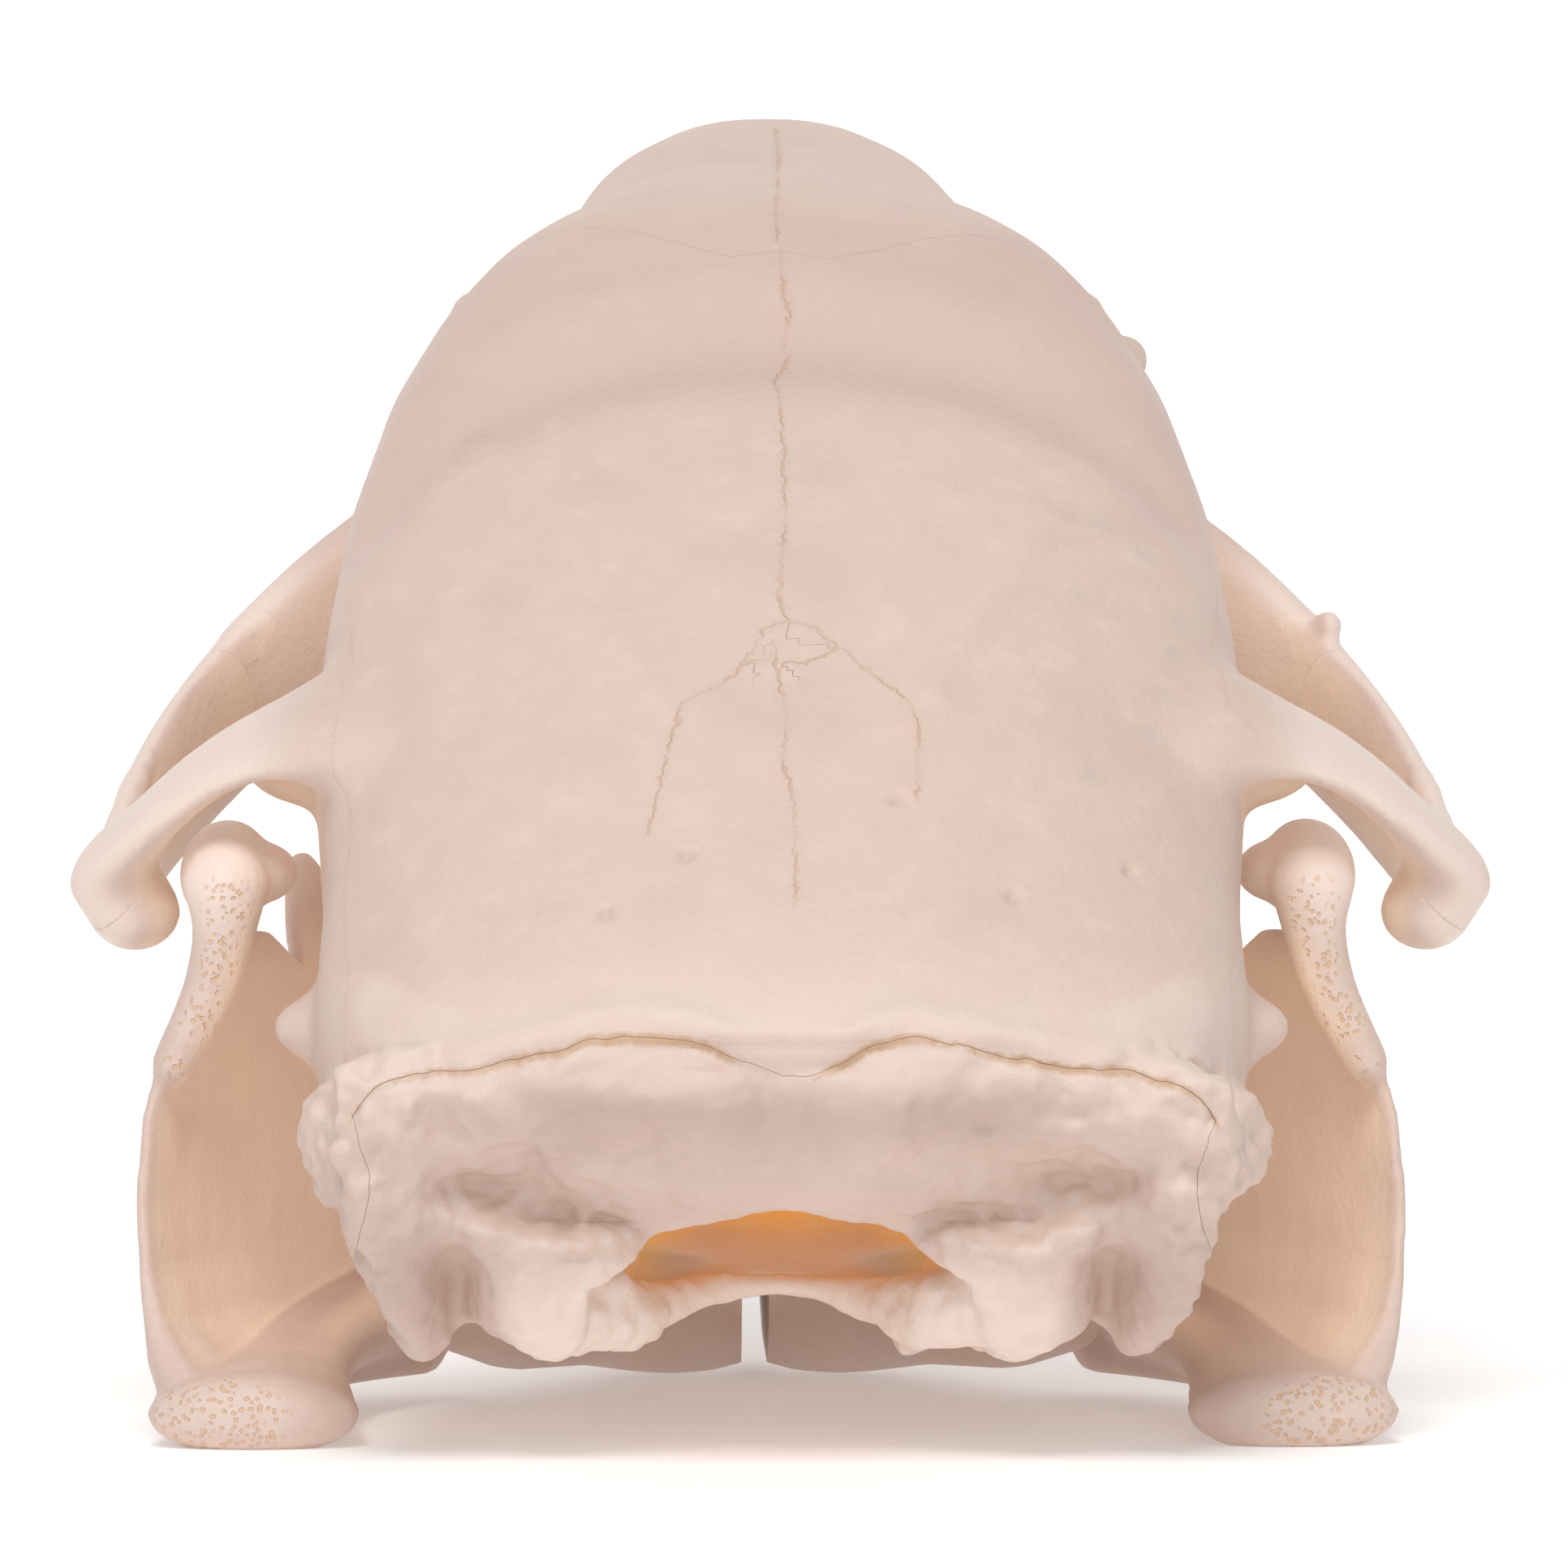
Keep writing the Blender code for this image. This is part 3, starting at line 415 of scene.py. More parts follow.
# The same for relief that differs between the sides
RELIEF = (
    (-9.0, 20.3, 4.2, 0.8, -0.50), (7.4, 20.3, 4.2, 0.8, -0.50),
    (-12.6, 19.0, 0.9, 0.7, -0.45), (-10.4, 19.4, 0.7, 0.6, -0.35),
    (8.4, 19.9, 0.8, 0.6, -0.30), (12.1, 19.0, 0.9, 0.7, -0.45),
    (14.3, 18.3, 0.9, 0.7, -0.50), (17.0, 17.6, 0.8, 0.8, -0.40),
    (-14.6, 18.2, 1.1, 0.9, -0.60), (-12.8, 16.9, 1.1, 0.9, -0.60),
    (-11.0, 15.6, 1.2, 0.8, -0.60), (-11.9, 14.9, 1.0, 0.7, 0.50),
    (-16.6, 16.6, 1.2, 1.1, 0.50), (-18.4, 17.8, 0.9, 0.8, -0.50),
    (-13.6, 13.6, 2.8, 0.9, 0.60), (14.5, 14.4, 3.0, 0.8, 0.70),
    (10.2, 15.9, 1.6, 0.6, -0.40), (13.2, 16.4, 1.8, 0.6, -0.55),
    (16.4, 16.8, 1.4, 0.6, -0.45), (9.0, 17.2, 1.6, 0.9, 0.30),
    (-20.0, 13.2, 1.2, 3.4, -0.60), (20.6, 17.0, 1.0, 1.1, -0.55),
    (19.6, 15.0, 0.5, 0.5, 0.60), (19.4, 12.0, 1.0, 2.2, -0.50),
    (-0.9, 18.6, 0.7, 1.6, 0.35), (-4.0, 17.6, 1.6, 1.2, -0.30),
    (4.6, 17.0, 1.8, 1.3, -0.35), (-6.6, 15.6, 1.4, 1.0, 0.30),
    (5.8, 14.6, 1.5, 1.0, 0.28), (-17.6, 8.4, 1.0, 2.0, -0.40),
    (17.8, 8.8, 0.9, 2.0, -0.45), (12.6, 9.6, 1.6, 1.2, -0.35),
)


def skull_point(x, y, z):
    """Point of the floor's frame, with Y from the crest, in the skull's frame."""
    rise = z - CREST_HEIGHT
    return Vector((x, y * PITCH_COSINE + rise * PITCH_SINE,
                   -y * PITCH_SINE + rise * PITCH_COSINE))


def seen_from_behind(points):
    """Height above the floor and depth from the crest of points in the skull's frame."""
    y, z = points[:, 1], points[:, 2]
    return CREST_HEIGHT + y * PITCH_SINE + z * PITCH_COSINE, y * PITCH_COSINE - z * PITCH_SINE


def crest_height(x):
    """Height of the crest line, rounded at its corners."""
    return sum(interpolate(x + step, CREST_LINE) for step in (-0.8, -0.4, 0, 0.4, 0.8)) / 5


def seam_waves(place, row):
    return (0.18 * noise.noise(Vector((place / 1.4, row, 0)))
            + 0.09 * noise.noise(Vector((place / 0.55, row + 9.0, 0))))


def crest_seam(x):
    """Height of the wavy seam under the crest, which turns down at both ends."""
    return crest_height(x) - 0.5 + seam_waves(x, 7.3) - 0.5 * max(0.0, abs(x) - 19.2) ** 2


def relief(x, z, bumps):
    total = 0.0
    for middle, height, wide, high, depth in bumps:
        total += depth * math.exp(-((x - middle) / wide) ** 2 - ((z - height) / high) ** 2)
    return total


def occiput_depth(x, z):
    """Depth of the bone's surface under the nuchal crest."""
    uneven = 1.25 * relief(x, z, RELIEF)
    x = abs(x)
    middle = interpolate(z, DEPTH_MIDDLE)
    condyle = interpolate(z, DEPTH_CONDYLE)
    side = interpolate(z, DEPTH_SIDE)
    start, end, share = middle, condyle, max(0.0, x - 2.0) / 8.0
    if x >= 10.0:
        start, end, share = condyle, side, min(1.0, (x - 10.0) / 7.0)
    depth = start + (end - start) * share * share * (3 - 2 * share)
    return depth + relief(x, z, BUMPS) + uneven


def occiput():
    """Plate from the nuchal crest down to the processes beside the condyles."""
    columns = []
    for i in range(-72, 73):
        x = 0.3 * i
        low = interpolate(abs(x), LOWER_EDGE)
        high = crest_height(x)
        column = []
        for k in range(57):
            z = low + (high - low) * k / 56
            depth = occiput_depth(x, z)
            inner = max(depth + 3.2, min(1.3 + 1.54 * (20.55 - z), 15.0))
            column.append((skull_point(x, depth, z), skull_point(x, inner, z)))
        columns.append(column)
    return sheet("occiput", columns)


def nuchal_crest():
    """Low rounded rim along the top of the plate."""
    route = []
    for k in range(-21, 22):
        x = 1.0 * k
        z = crest_height(x)
        point = skull_point(x, occiput_depth(x, z) + 0.9, z + 0.1)
        route.append((*point, 0.9, 0.7))
    return tube("nuchal_crest", route, steps=2, count=10)


def condyle(side):
    return ellipsoid("condyle", (side * 10.8, 8.8, -16.2), (3.9, 4.6, 4.6), (30, 0, side * 24))


def condyle_foot(side):
    """Inner end of a condyle, which runs on as the lower rim of the foramen."""
    route = []
    for x, depth, z, radius in (
            (11.2, 9.6, 8.2, 2.3), (8.9, 10.8, 7.3, 2.1), (6.9, 12.8, 7.1, 1.7),
            (4.8, 15.0, 7.4, 1.15), (2.4, 16.2, 7.9, 0.75), (0.0, 16.6, 8.05, 0.65)):
        route.append((*skull_point(side * x - 0.5, depth, z), radius, radius))
    return tube("condyle_foot", route)


def pterygoid(side):
    return tube("pterygoid", on_side(side, [
        (5.6, 37.0, -12.0, 1.0, 3.4), (6.2, 31.0, -14.0, 0.9, 3.6), (7.2, 25.5, -16.2, 0.9, 2.8)]))


def eye_hollow(side):
    """Cuts the eye socket and the hollow behind it out of the vault's side."""
    socket = ellipsoid("socket", (side * 27.0, 50.5, -5.5), (13.0, 15.5, 12.0), (0, 0, side * 8))
    behind = ellipsoid("behind", (side * 28.5, 39.0, -7.5), (11.5, 10.5, 10.5))
    return [socket, behind]


# The way through the foramen: y, z, half width, rise, drop
CANAL = (
    (-4.0, -23.0, 10.8, 17.0, 7.0),
    (8.7, -15.0, 10.2, 5.4, 4.8),
    (16.0, -10.4, 10.0, 6.2, 5.0),
    (24.0, -5.6, 11.0, 7.6, 6.2),
)
CANAL_RISE = math.radians(32)


def brain_cavity():
    """Hollow that shows through the foramen magnum."""
    up = Vector((0, -math.sin(CANAL_RISE), math.cos(CANAL_RISE)))
    rings = [oval(Vector((0, y, z)), RIGHT, up, half_width, rise, drop, 1.7, 1.35, 48)
             for y, z, half_width, rise, drop in CANAL]
    chamber = ellipsoid("chamber", (0, 28.0, -3.0), (13.5, 15.0, 9.5))
    behind = ellipsoid("chamber_behind", (0, 12.0, -4.6), (11.0, 6.4, 5.0))
    return [loft("canal", rings), chamber, behind]


def foramen_notch():
    """Arch cut into the lower rim of the foramen, straight from behind."""
    ring = oval(Vector((-0.6, 0, 3.4)), RIGHT, UP, 6.7, 4.8, 3.0)
    return loft("foramen_notch", [[skull_point(spot.x, depth, spot.z) for spot in ring]
                                  for depth in (-3.0, 31.0)])


def nose_opening():
    return tube("nose_opening", [(0, 70.0, 0.0, 3.6, 4.0), (0, 80.0, -1.0, 6.4, 6.2),
                                 (0, 94.0, -2.6, 8.0, 8.2)])


def upper_incisor(side):
    """Curved cutting tooth, flat to its partner, ending in a chisel edge."""
    return tube("upper_incisor", on_side(side, [
        (2.5, 82.4, -10.7, 2.0, 1.9), (2.45, 84.8, -12.8, 2.2, 2.4), (2.4, 87.6, -19.0, 2.2, 2.5),
        (2.4, 87.4, -25.6, 2.15, 2.1), (2.4, 85.8, -30.0, 2.05, 0.9)]),
        up=(0, 1, 0), steps=2, count=10, squareness=3.0)


def cheek_tooth(x, y, bite, height):
    """Column of oval section with a flat top, height above the bite or below it."""
    rings = []
    for share, width in ((1.0, 0.9), (0.2, 1.0), (0.0, 0.9)):
        rings.append(oval(Vector((x, y, bite + height * share)), RIGHT, AHEAD,
                          2.9 * width, 3.1 * width, 3.1 * width, 3.2, 3.2, 14))
    return loft("cheek_tooth", rings)


def upper_cheek_tooth(side, number):
    y = UPPER_TEETH_START + TOOTH_LENGTH * (number + 0.5)
    bite = UPPER_BITE_BACK - UPPER_BITE_SLOPE * (y - UPPER_TEETH_START)
    return cheek_tooth(side * (9.9 - 0.55 * number), y, bite, 6.0)


def build_cranium():
    both = (-1, 1)
    core = boolean(vault(), [part for side in both for part in eye_hollow(side)], "DIFFERENCE")
    added = [maxilla()]
    for side in both:
        added += cheek_arch(side) + ear_capsule(side)
    boolean(core, added, "UNION")
    remesh(core, CORE_VOXEL)
    smooth(core, CORE_TURNS)
    fine = [nuchal_crest(), occiput()]
    fine.append(ellipsoid("basioccipital", (0, 14.0, -20.6), (9.5, 8.0, 2.6)))
    for side in both:
        fine += [mastoid(side), condyle(side), pterygoid(side)]
        fine.append(ellipsoid("brow_corner", (side * 15.6, 60.4, 9.6), (1.3, 2.2, 1.5)))
    fine.append(ellipsoid("brow_knob", (17.7, 57.0, 9.2), (1.2, 2.0, 1.0)))
    fine.append(ellipsoid("cheek_knob", (28.5, 58.0, -6.6), (0.7, 1.1, 0.7)))
    boolean(core, fine, "UNION")
    cuts = brain_cavity() + [nose_opening()]
    cuts.append(ellipsoid("palate_vault", (0, 50.0, -19.0), (4.6, 19.0, 3.6)))
    cuts.append(ellipsoid("throat_notch", (0, 29.0, -18.0), (4.6, 9.5, 5.5)))
    cuts.append(foramen_notch())
    boolean(core, cuts, "DIFFERENCE")
    for side in both:
        boolean(core, [condyle_foot(side)], "UNION")
    remesh(core, FINE_VOXEL)
    smooth(core, FINE_TURNS)
    return core


# Regions that part the cranium into its bones, each grown by a gap for its neighbour

def jugal_region(side, grow):
    """Outer half of the arch, under a slanting seam at its back end."""
    rings = []
    for y, inner, inner_top, outer_top in (
            (18.0, 26.8, -0.7, -15.5), (31.0 - 1.5 * grow, 26.8, -0.7, -15.5),
            (36.5 - 1.5 * grow, 29.0, 9.0, 9.0), (56.0 + grow, 26.0, 9.0, 9.0)):
        corners = [(inner - grow, inner_top + 1.5 * grow), (42.0, outer_top + 1.5 * grow),
                   (42.0, -32.0), (inner - grow, -32.0)]
        rings.append([Vector((side * x, y, z)) for x, z in corners])
    return [loft("jugal_region", rings)]


def ear_region(side, grow):
    return ear_capsule(side, 0.5 + grow)


# The seam between the frontals and the nasals: x, y
FRONTONASAL = ((-20.0, 61.6), (-9.3, 59.8), (-5.0, 56.8), (-2.4, 55.3), (0.0, 55.9), (3.0, 55.0),
               (5.8, 56.6), (9.1, 58.8), (20.0, 61.6))


def rostrum_region(side, grow):
    """Snout in front of the seam at the frontals, and the tooth-bearing bone below."""
    outline = [(-grow, 30.0), (-grow, -3.0), (-4.6 - grow, -8.0 + grow),
               (-23.6 - grow, -8.6 + grow), (-25.6 - grow, -32.0), (50.0, -32.0), (50.0, 30.0)]
    return [prism("rostrum_region", outline, 40.0, lambda x: interpolate(x, FRONTONASAL))]


# The occipital's outer edge: height above the floor, turned round, and half width
SIDE_SEAM = ((-17.6, 20.8), (-16.0, 20.4), (-14.6, 19.9), (-13.0, 20.0), (-11.4, 20.4), (-9.8, 20.9),
             (-8.0, 21.3), (9.0, 21.3))


def occipital_region(side, grow):
    """Plug whose upper edge follows the groove just under the nuchal crest."""
    edge = []
    for k in range(-52, 53):
        x = 0.4 * k
        edge.append((x * (1 + grow / 20.8), crest_seam(x) + grow))
    heights = [17.6 - 0.4 * k for k in range(28)] + [-9.0]
    across = [(interpolate(-z, SIDE_SEAM) + grow, z) for z in heights]
    edge += [(x + seam_waves(z, 2.1), z) for x, z in across]
    edge += [(-x + seam_waves(z, 5.7), z) for x, z in reversed(across)]
    behind = [skull_point(x, -8.0, z) for x, z in edge]
    front = [skull_point(x, 16.5 + grow + 0.9 * (20.0 - z), z) for x, z in edge]
    return [loft("occipital_region", [behind, front])]


def part_off(whole, name, region, side):
    """Takes a named bone off the whole and leaves a thin gap between them."""
    piece = new_object(name, whole.data.copy())
    first, *others = region(side, 0.0)
    if others:
        boolean(first, others, "UNION")
    boolean(piece, [first], "INTERSECT")
    boolean(whole, region(side, GAP), "DIFFERENCE")
    return piece


# Lower jaw, in the floor's frame

# Cross-sections: y, x, z, half width, half height
JAW_BODY = (
    (36.0, 15.8, 8.4, 2.0, 5.4),
    (43.0, 12.4, 8.0, 4.3, 6.6),
    (50.0, 8.6, 8.2, 6.0, 7.2),
    (55.5, 4.2, 8.4, 8.0, 8.4),
    (62.0, 3.2, 9.7, 7.6, 8.4),
    (70.0, 2.8, 12.4, 6.0, 6.3),
    (77.0, 2.8, 15.2, 4.6, 4.6),
    (81.5, 2.8, 17.0, 3.7, 3.7),
)
Strip = namedtuple("Strip", "z front bend back thick_front thick_back")
RAMUS = (
    Strip(1.2, (17.0, 45.0), (25.0, 38.0), (28.4, 18.0), 4.0, 4.6),
    Strip(3.6, (15.5, 46.0), (26.2, 38.0), (29.5, 18.2), 4.2, 4.0),
    Strip(5.8, (15.0, 46.2), (27.1, 38.0), (30.5, 18.8), 3.4, 2.2),
    Strip(8.5, (14.5, 46.5), (27.4, 38.0), (31.0, 19.6), 3.0, 1.3),
    Strip(12.0, (14.5, 46.5), (27.4, 37.0), (31.2, 21.2), 3.0, 1.2),
    Strip(16.0, (15.5, 46.0), (26.8, 36.0), (30.9, 22.8), 2.6, 1.2),
    Strip(18.5, (18.5, 42.5), (26.2, 35.5), (30.1, 24.0), 2.2, 1.4),
    Strip(21.5, (22.4, 37.5), (26.0, 33.0), (28.7, 25.0), 1.9, 1.8),
    Strip(24.5, (25.4, 33.0), (26.4, 30.0), (27.9, 25.6), 1.6, 2.2),
)
LOWER_TEETH_START = 40.2
LOWER_BITE_BACK = 16.5
LOWER_BITE_SLOPE = math.tan(math.radians(14))
CHIN_SLIT_BACK = 1.3
CHIN_SLIT_FRONT = 0.4


def strip_ring(strip, side, count=12):
    """Long thin ring along a quadratic curve from the front to the back of the ramus."""
    front, bend, back = (Vector((*point, 0)) for point in (strip.front, strip.bend, strip.back))
    outer = []
    inner = []
    for k in range(count + 1):
        t = k / count
        place = front * (1 - t) ** 2 + bend * 2 * t * (1 - t) + back * t * t
        ahead = ((bend - front) * (1 - t) + (back - bend) * t).normalized()
        out = Vector((-ahead.y, ahead.x, 0))
        half = (strip.thick_front * (1 - t) + strip.thick_back * t) / 2
        half *= 0.45 if k in (0, count) else 1.0
        outer.append(place + out * half)
        inner.append(place - out * half)
    ring = outer + inner[::-1]
    return [Vector((side * point.x, point.y, strip.z)) for point in ring]


def ramus(side):
    return loft("ramus", [strip_ring(strip, side) for strip in RAMUS])


def jaw_body(side):
    rings = []
    for y, x, z, half_width, half_height in JAW_BODY:
        rings.append(oval(Vector((side * x, y, z)), RIGHT, UP, half_width, half_height,
                          half_height, 2.4, 2.4, 32))
    return loft("jaw_body", rings)


def jaw_knuckle(side):
    """Condyle with its inner flange, the neck below it and the coronoid point."""
    condyle = ellipsoid("condyle_head", (side * 27.0, 28.8, 27.6), (2.3, 5.0, 2.6), (6, 0, side * 4))
    flange = ellipsoid("condyle_flange", (side * 25.6, 29.4, 27.6), (2.2, 3.6, 1.6))
    neck = tube("neck", on_side(side, [
        (27.0, 25.6, 27.2, 2.2, 2.2), (27.1, 25.3, 24.8, 1.6, 1.7), (27.9, 24.8, 21.8, 1.35, 1.5),
        (29.6, 23.8, 18.4, 1.1, 1.4)]), up=(0, 1, 0))
    coronoid = tube("coronoid", on_side(side, [
        (18.0, 43.8, 12.0, 1.1, 3.6), (20.4, 41.6, 18.5, 1.0, 3.8),
        (22.4, 39.4, 24.0, 0.9, 2.8), (23.4, 38.4, 27.4, 0.7, 1.1)]),
        up=(-0.6 * side, 0.8, 0))
    return [condyle, flange, neck, coronoid]


def jaw_angle(side):
    """Inturned shelf along the bottom of the ramus, ending behind in a blunt porous end."""
    return tube("jaw_angle", on_side(side, [
        (25.6, 17.2, 1.6, 5.3, 2.1), (25.5, 21.0, 1.8, 5.0, 2.2), (24.9, 27.0, 2.4, 4.2, 2.0),
        (22.8, 33.5, 3.6, 3.0, 2.0), (19.0, 40.5, 5.0, 2.6, 2.4)]))


def lower_incisor(side):
    return tube("lower_incisor", on_side(side, [
        (2.7, 76.0, 14.4, 1.9, 2.1), (2.65, 82.4, 17.8, 2.0, 2.2), (2.6, 86.6, 22.6, 2.0, 1.9),
        (2.5, 88.4, 27.6, 1.95, 0.8)]), steps=2, count=10, squareness=3.0)


def lower_tooth_place(number):
    """Middle of a lower cheek tooth's bite, with 0 for the hindmost tooth."""
    y = LOWER_TEETH_START + TOOTH_LENGTH * (number + 0.5)
    return 9.8 - 0.6 * number, y, LOWER_BITE_BACK + LOWER_BITE_SLOPE * (y - LOWER_TEETH_START)


def lower_cheek_tooth(side, number):
    x, y, bite = lower_tooth_place(number)
    return cheek_tooth(side * x, y, bite, -6.0)


def tooth_ridge(side):
    """Bone that holds the bases of the lower cheek teeth."""
    route = []
    for number in (-0.4, 1.0, 2.4, 3.6):
        x, y, bite = lower_tooth_place(number)
        route.append((x, y, bite - 5.3, 3.9, 3.6))
    return tube("tooth_ridge", on_side(side, route), squareness=2.6)


def chin_slit(side):
    """Slab on the jaw's middle line, wider behind than in front."""
    rings = []
    for y, width in ((30.0, CHIN_SLIT_BACK * 1.5), (57.0, CHIN_SLIT_BACK), (84.0, CHIN_SLIT_FRONT),
                     (100.0, CHIN_SLIT_FRONT)):
        corners = ((-20.0, -5.0), (width / 2, -5.0), (width / 2, 40.0), (-20.0, 40.0))
        rings.append([Vector((side * x, y, z)) for x, z in corners])
    return loft("chin_slit", rings)


def build_jaw(side):
    jaw = jaw_body(side)
    boolean(jaw, [ramus(side), jaw_angle(side), tooth_ridge(side)] + jaw_knuckle(side), "UNION")
    remesh(jaw, FINE_VOXEL)
    smooth(jaw, FINE_TURNS)
    below_floor = box("below_floor", (-60, -20, -20), (60, 120, 0.02))
    boolean(jaw, [below_floor, chin_slit(side)], "DIFFERENCE")
    return jaw


# Marks on the bone: polylines and points in the skull's frame

SUTURES = (
    ((0.0, 81.5, 10.3), (0.1, 74.0, 12.6), (0.0, 66.3, 14.8), (-0.1, 56.7, 16.0)),
    ((0.1, 56.7, 16.0), (0.2, 52.3, 15.2), (0.6, 50.9, 14.9), (0.2, 48.8, 14.6),
     (0.5, 47.7, 14.4), (-0.2, 45.5, 14.1), (0.1, 41.6, 13.4), (0.2, 33.8, 11.9),
     (-0.1, 27.8, 10.4), (0.3, 26.4, 10.0)),
    ((0.3, 26.4, 10.0), (-0.9, 25.9, 9.8), (-1.3, 24.5, 9.5), (-2.7, 22.3, 8.9),
     (-4.9, 21.1, 8.3), (-5.8, 16.6, 6.8), (-6.3, 14.2, 5.9)),
    ((0.3, 26.4, 10.0), (1.5, 26.1, 9.9), (3.9, 23.5, 9.2), (6.4, 21.0, 8.2),
     (6.7, 19.4, 7.6), (6.6, 16.7, 6.7)),
    ((-1.3, 23.7, 9.3), (1.1, 23.5, 9.3), (2.7, 24.5, 9.5)),
    ((-0.3, 24.5, 9.5), (-0.1, 21.7, 8.7), (0.3, 20.1, 8.2), (0.0, 17.2, 7.3),
     (0.6, 14.0, 6.2), (0.6, 10.0, 4.6)),
)
SIDE_SUTURES = (
    ((-21.5, 35.2, 6.2), (-21.9, 26.7, 6.0), (-21.9, 23.5, 3.2), (-21.4, 16.4, 0.2),
     (-21.1, 10.1, -0.9), (-21.2, 7.3, -2.9)),
    ((21.8, 35.6, 5.9), (22.3, 26.9, 5.9), (22.6, 25.4, 2.1), (22.5, 21.1, -2.4),
     (21.8, 11.2, -1.5), (21.9, 9.4, -3.2)),
)
TEMPORAL_LINES = (
    ((-15.1, 42.8, 11.6), (-11.0, 34.2, 10.8), (-6.5, 22.0, 8.0)),
    ((13.3, 35.5, 10.7), (9.5, 28.0, 9.4), (7.4, 22.1, 8.2)),
)
GREY_SPOTS = ((15.9, 36.2, 10.3), (18.1, 35.2, 9.1), (14.8, 30.5, 9.2), (19.7, 31.9, 7.2),
              (19.4, 29.3, 6.7), (19.1, 25.8, 6.2), (20.2, 26.0, 6.2), (18.2, 22.9, 5.5),
              (15.1, 18.6, 5.5))
PITS = ((17.0, 13.3, 3.2), (5.6, 14.9, 6.2), (-4.7, 11.4, 5.0), (-8.6, 8.2, 3.6),
        (11.2, 9.8, 3.8), (-14.4, 1.4, -10.2), (12.1, 2.7, -10.2), (13.5, 1.4, -10.4),
        (18.2, 1.2, -4.2), (14.0, 1.1, -10.8))
POROUS_PLACES = ((27.0, 22.6, 26.0, 2.1), (27.2, 22.8, 23.6, 1.7), (28.2, 22.6, 21.0, 1.8),
                 (29.6, 21.4, 18.2, 1.7), (28.2, 14.0, 2.0, 3.9), (25.9, 14.0, 1.6, 2.6))
# Painted light: a small bright spot where light shows through a pinhole at the nasals' seam
PAINTED_LIGHT_SPOTS = ((-0.1, 56.2, 16.2),)


def read_vectors(items, name, count):
    values = np.empty(count * 3, np.float32)
    items.foreach_get(name, values)
    return values.reshape(-1, 3).astype(np.float64)


def coordinates(item):
    return read_vectors(item.data.vertices, "co", len(item.data.vertices)) / MM


def normals(item):
    return read_vectors(item.data.vertex_normals, "vector", len(item.data.vertices))


def place_vertices(item, points):
    item.data.vertices.foreach_set("co", (points * MM).astype(np.float32).ravel())
    item.data.update()


def paint(item, name, values):
    layer = item.data.attributes.new(name, "FLOAT", "POINT")
    layer.data.foreach_set("value", values.astype(np.float32))


def rise(values, low, high):
    """Smooth step from 0 at low to 1 at high."""
    share = np.clip((values - low) / (high - low), 0.0, 1.0)
    return share * share * (3 - 2 * share)


def line_distance(points, facing, line, reach):
    """Signed distance along the surface to a polyline, and the plain distance to it."""
    nearest = np.full(len(points), reach)
    signed = np.full(len(points), reach)
    for start, end in zip(line, line[1:]):
        start, end = np.array(start), np.array(end)
        middle = (start + end) / 2
        half = np.linalg.norm(end - start) / 2
        near = np.flatnonzero(np.abs(points - middle).max(axis=1) < half + reach)
        along = (end - start) / (2 * half)
        share = np.clip((points[near] - start) @ along, 0.0, 2 * half)
        apart = points[near] - (start + share[:, None] * along)
        distance = np.linalg.norm(apart, axis=1)
        across = np.cross(along, facing[near])
        across /= np.maximum(np.linalg.norm(across, axis=1), 0.2)[:, None]
        closer = distance < nearest[near]
        chosen = near[closer]
        nearest[chosen] = distance[closer]
        signed[chosen] = (apart * across).sum(axis=1)[closer]
    return signed, nearest


# How strongly the brown line under the crest shows: x, share
CREST_SHADE = ((-21.5, 0.45), (-17.0, 0.60), (-12.0, 0.70), (-8.5, 0.95), (-6.0, 1.0), (-3.0, 0.8),
               (-1.6, 0.30), (0.0, 0.10), (1.4, 0.45), (3.0, 1.0), (5.5, 0.95), (8.0, 0.60),
               (12.0, 0.80), (17.0, 0.85), (21.5, 0.50))


def above_crest_line(points):
    """Height of each point above the line under the crest, and how strongly the line shows."""
    x = points[:, 0]
    lift, depth = seen_from_behind(points)
    places = np.linspace(-21.6, 21.6, 289)
    line = np.interp(x, places, [crest_seam(place) for place in places])
    share = np.interp(x, *zip(*CREST_SHADE))
    return lift - line, share * rise(8.0 - depth, 0.0, 2.0) * rise(21.5 - np.abs(x), 0.0, 0.8)


def hollow_share(points):
    """1 for the walls of the brain's hollow, fading to 0 at the edge of the foramen; the orange tint
    painted there stands for warm light bouncing inside.
    """
    inside = np.zeros(len(points))
    for centre, radii in (((0, 28.0, -3.0), (14.3, 15.8, 10.3)), ((0, 12.0, -4.6), (12.0, 7.4, 5.8))):
        level = (((points - centre) / radii) ** 2).sum(axis=1)
        inside = np.maximum(inside, rise(1.1 - level, 0.0, 0.1))
    along = points[:, 1] * math.cos(CANAL_RISE) + points[:, 2] * math.sin(CANAL_RISE)
    across = points[:, 2] * math.cos(CANAL_RISE) - points[:, 1] * math.sin(CANAL_RISE) + 17.35
    level = (points[:, 0] / 11.0) ** 2 + (across / 6.8) ** 2
    inside = np.maximum(inside, rise(1.1 - level, 0.0, 0.1))
    along_wall = along + 0.9 * np.maximum(np.abs(points[:, 0]) - 4.0, 0.0)
    return inside * rise(along_wall, 0.6, 4.6) * rise(30.0 - along, 0.0, 3.0)


SEAM_REACH = 2.4


def seam_marks(points, facing):
    """Signed distance to the nearest suture, and how strongly it shows."""
    best = np.full(len(points), SEAM_REACH)
    seam = best.copy()
    power = np.zeros(len(points))
    for line in SUTURES + SIDE_SUTURES:
        signed, plain = line_distance(points, facing, line, SEAM_REACH)
        closer = plain < best
        best[closer] = plain[closer]
        seam[closer] = signed[closer]
        near = (1.0 - rise(plain[closer], 1.4, 2.3)) * (1.0 - rise(np.abs(signed[closer]), 0.8, 1.3))
        power[closer] = near * (0.35 if line in SIDE_SUTURES else 1.0)
    return seam, power


